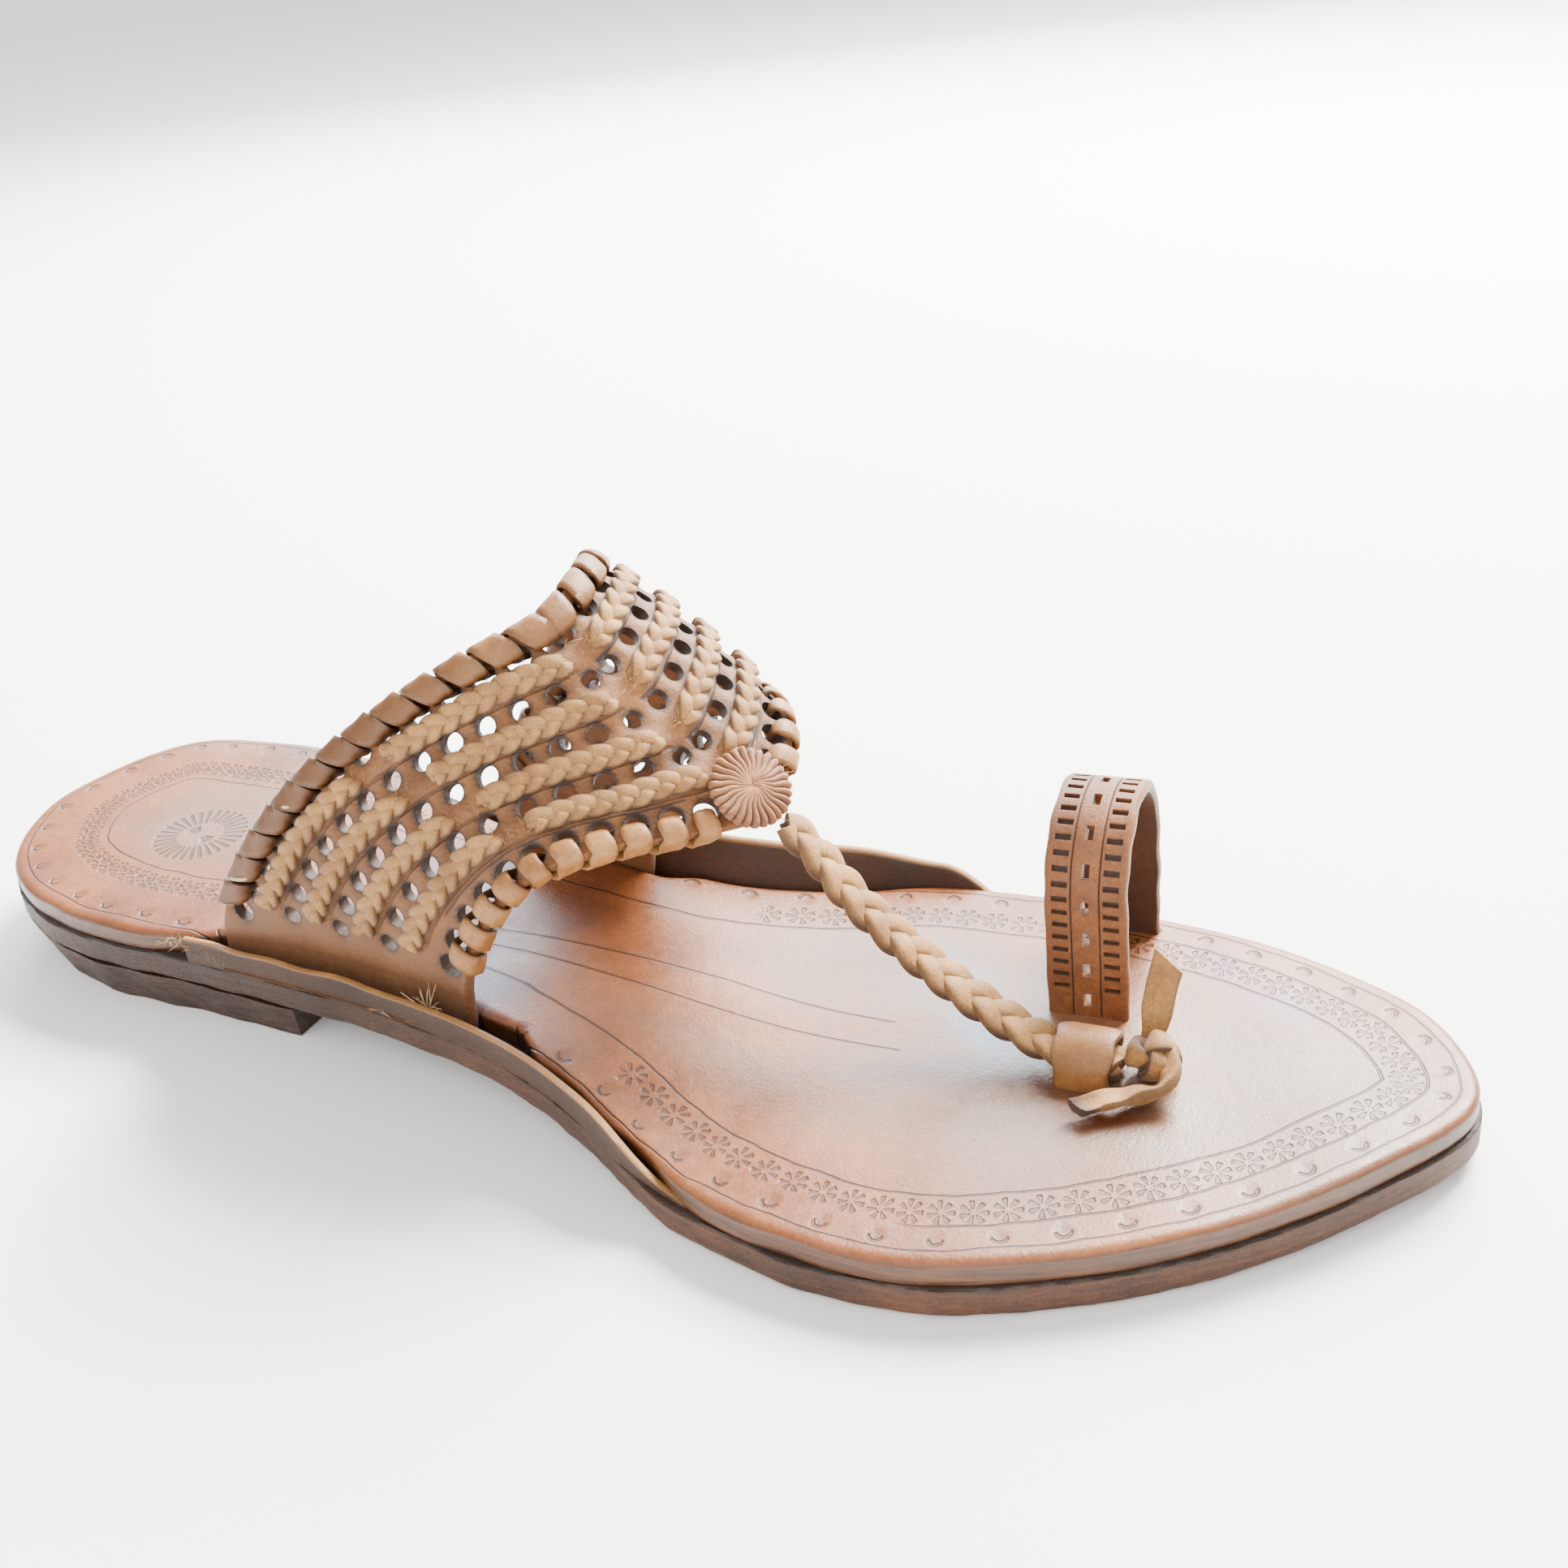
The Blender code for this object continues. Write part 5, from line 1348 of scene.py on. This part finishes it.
def knot_centre():
    """Middle of the knot, which lies on the insole in front of the wrap loop."""
    x, y = KNOT_PLACE[0] * LENGTH, KNOT_PLACE[1] * BALL_WIDTH
    return np.array([x, y, float(footbed(x)) + GAP + KNOT[2] / 2 * 0.9])


def make_knot(finish):
    """Overhand knot: a flat strand along a three-lobed knot curve, pulled tight round a core."""
    t = np.linspace(0, 2 * math.pi, 240, endpoint=False)
    curve = np.stack([np.sin(t) + 2 * np.sin(2 * t), np.cos(t) - 2 * np.cos(2 * t),
                      -1.15 * np.sin(3 * t)], axis=1)
    curve *= (0.00105, 0.00098, 0.0021)
    tilt = Matrix.Rotation(math.radians(38), 3, "X") @ Matrix.Rotation(math.radians(20), 3, "Z")
    curve = curve @ np.array(tilt).T * (1.0, 0.95, 0.88)
    tangent = unit(np.roll(curve, -1, 0) - np.roll(curve, 1, 0))
    out = unit(curve - tangent * (curve * tangent).sum(1)[:, None])
    side = np.cross(tangent, out)
    strand = 0.0021 + 0.00025 * np.sin(5 * t)
    c, s = oval(18, 2.6)
    rings = sweep(curve, side, out, strand, 0.00088, 18, 2.6)
    furrow = 0.00016 * wander(c * 9, 71)[None, :] * (0.7 + 0.3 * wander(t * 2, 72))[:, None]
    rings = rings + out[:, None] * (furrow * (s > 0)[None, :])[..., None]
    # Painted shade along the strand's edges, uneven, and deep over the hidden core
    painted_shade_and_edge_mask = np.tile(np.clip(0.85 * np.abs(c) ** 4 + 0.25 * wander(c * 9, 71), 0, 0.9), len(t))
    a = np.linspace(0, math.pi, 14)[1:-1]
    b = np.linspace(0, 2 * math.pi, 24, endpoint=False)
    core = np.stack([np.sin(a)[:, None] * np.cos(b), np.sin(a)[:, None] * np.sin(b),
                     np.cos(a)[:, None] * np.ones(24)], 2) * (0.0031, 0.0029, 0.0030)
    shape = join([tube(rings + knot_centre(), closed=True), tube(core + knot_centre())])
    return put("tied_knot", shape, finish, ["knot"],
               marks={"painted_shade_and_cut_edge": np.concatenate([painted_shade_and_edge_mask, np.full(core.size // 3 + 2, 0.9)])}, sharp=80)


def strip(path, width, thick, roll, cut_slant=0.0, sides=20, curl=0.0):
    """Flat strip along a path, rolled about it by an angle at each point and cupped by curl."""
    tangent, side, up = upright_frame(path)
    roll = np.broadcast_to(roll, len(path))[:, None]
    flat = side * np.cos(roll) + up * np.sin(roll)
    over = np.cross(tangent, flat)
    c, s = oval(sides, 4.0)
    rings = sweep(path, flat, over, width, thick, sides, 4.0)
    share = np.linspace(0, 1, len(path))
    rings = rings + over[:, None] * (curl * (c ** 2)[None, :] * share[:, None])[..., None]
    end = smooth_step(0.7, 1.0, share)
    rings = rings + tangent[:, None] * (cut_slant * c[None, :] * end[:, None])[..., None]
    return rings


def make_tags(finish):
    """The knot's two cut ends: one stands up behind it, one curls forward along the insole."""
    middle = knot_centre()
    x, y = TAG_UP_PLACE[0] * LENGTH, TAG_UP_PLACE[1] * BALL_WIDTH
    floor = float(footbed(x))
    path = centripetal_curve([middle + (-0.001, 0.0005, 0.0005),
                              (x + 0.0002, y - 0.0012, floor + 0.0035),
                              (x + 0.0003, y + 0.0002, floor + 0.0062),
                              (x + 0.0006, y + 0.0022, floor + 0.0105),
                              (x + 0.0012, y + 0.0046, floor + 0.0148)], 14, closed=False)
    path, _ = evenly(path, 60)
    share = np.linspace(0, 1, 60)
    wide = 0.0019 + 0.0007 * smooth_step(0.25, 0.55, share)
    roll = np.full(60, math.radians(-8)) + 0.35 * (share - 0.5)
    rings = strip(path, wide, 0.00055, roll, 0.0011, 20, 0.0003)
    c, _ = oval(20, 4.0)
    # Painted shade along the edges and where the end leaves the knot
    painted_shade_and_edge_mask = np.clip(0.5 * np.abs(c)[None, :] ** 8 + 0.5 * (1 - smooth_step(0, 0.3, share))[:, None], 0, 0.8)
    put("knot_end_up", tube(rings), finish, ["knot_tag_up"],
        marks={"painted_shade_and_cut_edge": with_caps(painted_shade_and_edge_mask, 0.5, 0.5)}, sharp=60)
    floor = float(footbed(middle[0]))
    start = middle + (0.0030, -0.0030, 0)
    path = centripetal_curve([middle + (0.001, 0.001, 0.001), start + (0.0008, -0.0004, 0.0006),
                              (start[0] + 0.0002, start[1] - 0.0024, floor + 0.0030),
                              (start[0] - 0.0035, start[1] - 0.0050, floor + 0.0024),
                              (start[0] - 0.0075, start[1] - 0.0074, floor + 0.0021),
                              (start[0] - 0.0105, start[1] - 0.0100, floor + 0.0019)], 16, closed=False)
    path, _ = evenly(path, 80)
    share = np.linspace(0, 1, 80)
    wide = 0.0019 - 0.0004 * share + 0.00018 * wander(share * 9, 81)
    roll = 0.5 * np.sin(share * 5) + 0.2
    rings = strip(path, wide, 0.00095 + 0.0002 * wander(share * 11, 82), roll, -0.0008, 20, 0.0009)
    # Painted shade along the edges; the last part of the end is darker towards its tip
    painted_shade_and_edge_mask = np.clip(0.5 * np.abs(c)[None, :] ** 6 + 0.9 * smooth_step(0.84, 1.0, share)[:, None], 0, 0.95)
    put("knot_end_front", tube(rings), finish, ["knot_tag_front"],
        marks={"painted_shade_and_cut_edge": with_caps(painted_shade_and_edge_mask, 0.5, 0.95)}, sharp=60)


def fibres(bases, aim, length, radius, seed, steps=6, sides=5):
    """Loose curved fibres: each leaves its base near its aim and bends a little at random."""
    dice = np.random.default_rng(seed)
    count = len(bases)
    aim = unit(aim + dice.normal(0, 0.5, (count, 3)))
    bend = dice.normal(0, 0.45, (count, 3))
    reach = length * dice.uniform(0.5, 1.3, count)
    t = np.linspace(0, 1, steps)
    path = (bases[:, None] + aim[:, None] * (reach[:, None] * t)[..., None]
            + bend[:, None] * (reach[:, None] * t ** 2)[..., None])
    tangent = unit(np.gradient(path, axis=1))
    side = unit(np.cross(tangent, (0.31, 0.17, 0.93)))
    up = np.cross(tangent, side)
    c, s = oval(sides)
    thin = radius * (1 - 0.75 * t)[None, :, None, None]
    rings = path[:, :, None] + (side[:, :, None] * c[:, None] + up[:, :, None] * s[:, None]) * thin
    i, j = np.arange(sides), (np.arange(sides) + 1) % sides
    wall = np.stack([i, j, j + sides, i + sides], 1)
    walls = (wall[None] + (np.arange(steps - 1) * sides)[:, None, None]).reshape(-1, 4)
    ends = np.array([i[::-1], i + (steps - 1) * sides])
    step = (np.arange(count) * steps * sides)[:, None, None]
    faces = [(walls[None] + step).reshape(-1, 4), (ends[None] + step).reshape(-1, sides)]
    return rings.reshape(-1, 3), faces


def make_fray(plait_finish, thread):
    """Frayed fibres at the ear's rear end, under the rosette and at the braid ends."""
    dice = np.random.default_rng(91)
    x = dice.uniform(0.058, 0.075, 60)
    ear = np.stack([x, side_y(x, -1, 0.0006), footbed(x) - dice.uniform(0.0, 0.0022, 60)], 1)
    parts = [fibres(ear, np.array([0.2, -0.8, 0.3]), 0.0018, 0.00009, 92)]
    ends = []
    for row in BRAID_ROWS:
        for place in (-0.03, -0.47, -0.54, 0.03):
            centre, normal, _, forward = band_frame(place, row)
            spread = dice.normal(0, 0.0009, (9, 2))
            ends.append(centre + normal * 0.0006 + forward * spread[:, :1]
                        + np.cross(forward, normal) * spread[:, 1:])
    parts.append(fibres(np.vstack(ends), np.array([0.2, -0.5, 0.7]), 0.0014, 0.00008, 93))
    centre, normal, over, forward = band_frame(0.0, 0.90)
    angle = dice.uniform(0, 2 * math.pi, 46)
    turned = np.cos(angle)[:, None] * over + np.sin(angle)[:, None] * forward
    ring = centre + normal * 0.0012 + 0.0062 * turned
    parts.append(fibres(ring, ring - centre, 0.0016, 0.0001, 94))
    put("loose_fibres", join(parts), plait_finish, sharp=180)
    base = np.tile([[0.1200, -0.0342, 0.0]], (14, 1)) + dice.normal(0, 0.00022, (14, 3))
    base[:, 2] = footbed(0.120) + 0.0006
    put("thread_end", fibres(base, np.array([0.35, -0.35, 0.9]), 0.0036, 0.00016, 95), thread,
        sharp=180)


def make_light(name, place, aim, size, power, colour):
    """One soft box lamp pointed at a place."""
    lamp = bpy.data.lights.new(name, "AREA")
    lamp.shape = "RECTANGLE"
    lamp.size, lamp.size_y = size
    lamp.energy = power
    lamp.color = colour
    made = bpy.data.objects.new(name, lamp)
    made.location = place
    made.rotation_euler = (Vector(aim) - Vector(place)).to_track_quat("-Z", "Y").to_euler()
    bpy.context.scene.collection.objects.link(made)


def make_studio():
    """Pale floor, pale surroundings and soft boxes: the key stands behind the toes."""
    floor = bpy.data.meshes.new("floor")
    floor.from_pydata([(-40, -40, 0), (40, -40, 0), (40, 40, 0), (-40, 40, 0)], [], [(0, 1, 2, 3)])
    pale = bpy.data.materials.new("floor_paper_white")
    pale.use_nodes = True
    shader = pale.node_tree.nodes["Principled BSDF"]
    shader.inputs["Base Color"].default_value = srgb("#F4F4F4")
    shader.inputs["Roughness"].default_value = 0.9
    floor.materials.append(pale)
    ground = bpy.data.objects.new("floor", floor)
    bpy.context.scene.collection.objects.link(ground)
    world = bpy.data.worlds.new("pale_room")
    world.use_nodes = True
    back = world.node_tree.nodes["Background"]
    back.inputs[0].default_value = srgb("#FFFFFF")
    back.inputs[1].default_value = 1.5
    bpy.context.scene.world = world
    make_light("key", (0.30, 0.75, 0.75), (0.09, 0.0, 0.02), (0.55, 0.55), 95, (1.0, 0.96, 0.9))
    make_light("cool_back", (-0.28, 0.85, 0.50), (0.12, 0.0, 0.01), (0.9, 0.4), 30, (0.82, 0.9, 1.0))
    make_light("fill", (0.30, -0.7, 0.55), (0.09, 0.0, 0.02), (0.8, 0.8), 6, (1.0, 0.97, 0.93))


def make_camera():
    """Camera at the photograph's place: 30.6 degrees round, 29.2 up and rolled by 7."""
    azimuth, height, roll = (math.radians(v) for v in (30.59, 29.17, -7.08))
    back = Vector((math.sin(azimuth) * math.cos(height), -math.cos(azimuth) * math.cos(height),
                   math.sin(height)))
    right = Vector((0, 0, 1)).cross(back).normalized()
    up = back.cross(right)
    turned = right * math.cos(roll) + up * math.sin(roll)
    upright = up * math.cos(roll) - right * math.sin(roll)
    lens = bpy.data.cameras.new("camera")
    lens.lens, lens.sensor_width = 41.65, 36
    lens.clip_start, lens.clip_end = 0.01, 20
    camera = bpy.data.objects.new("camera", lens)
    turn = Matrix((turned, upright, back)).transposed().to_4x4()
    camera.matrix_world = Matrix.Translation((0.2552, -0.2102, 0.1855)) @ turn
    bpy.context.scene.collection.objects.link(camera)
    bpy.context.scene.camera = camera


finish = make_finishes()
make_camera()
make_studio()
make_insole(finish["insole"])
make_outsole(finish["edge"])
make_heel(finish["edge"])
for ear in EARS:
    make_ear(ear, finish["ear"])
make_band(finish["band"])
make_braids(finish["plait"])
make_lacing(finish["lace"], finish["thread"])
make_rosette(finish["rosette"])
make_thong(finish["plait"])
make_ring(finish["ring"])
make_wrap(finish["lace"])
make_knot(finish["plait"])
make_tags(finish["plait"])
make_fray(finish["plait"], finish["thread"])
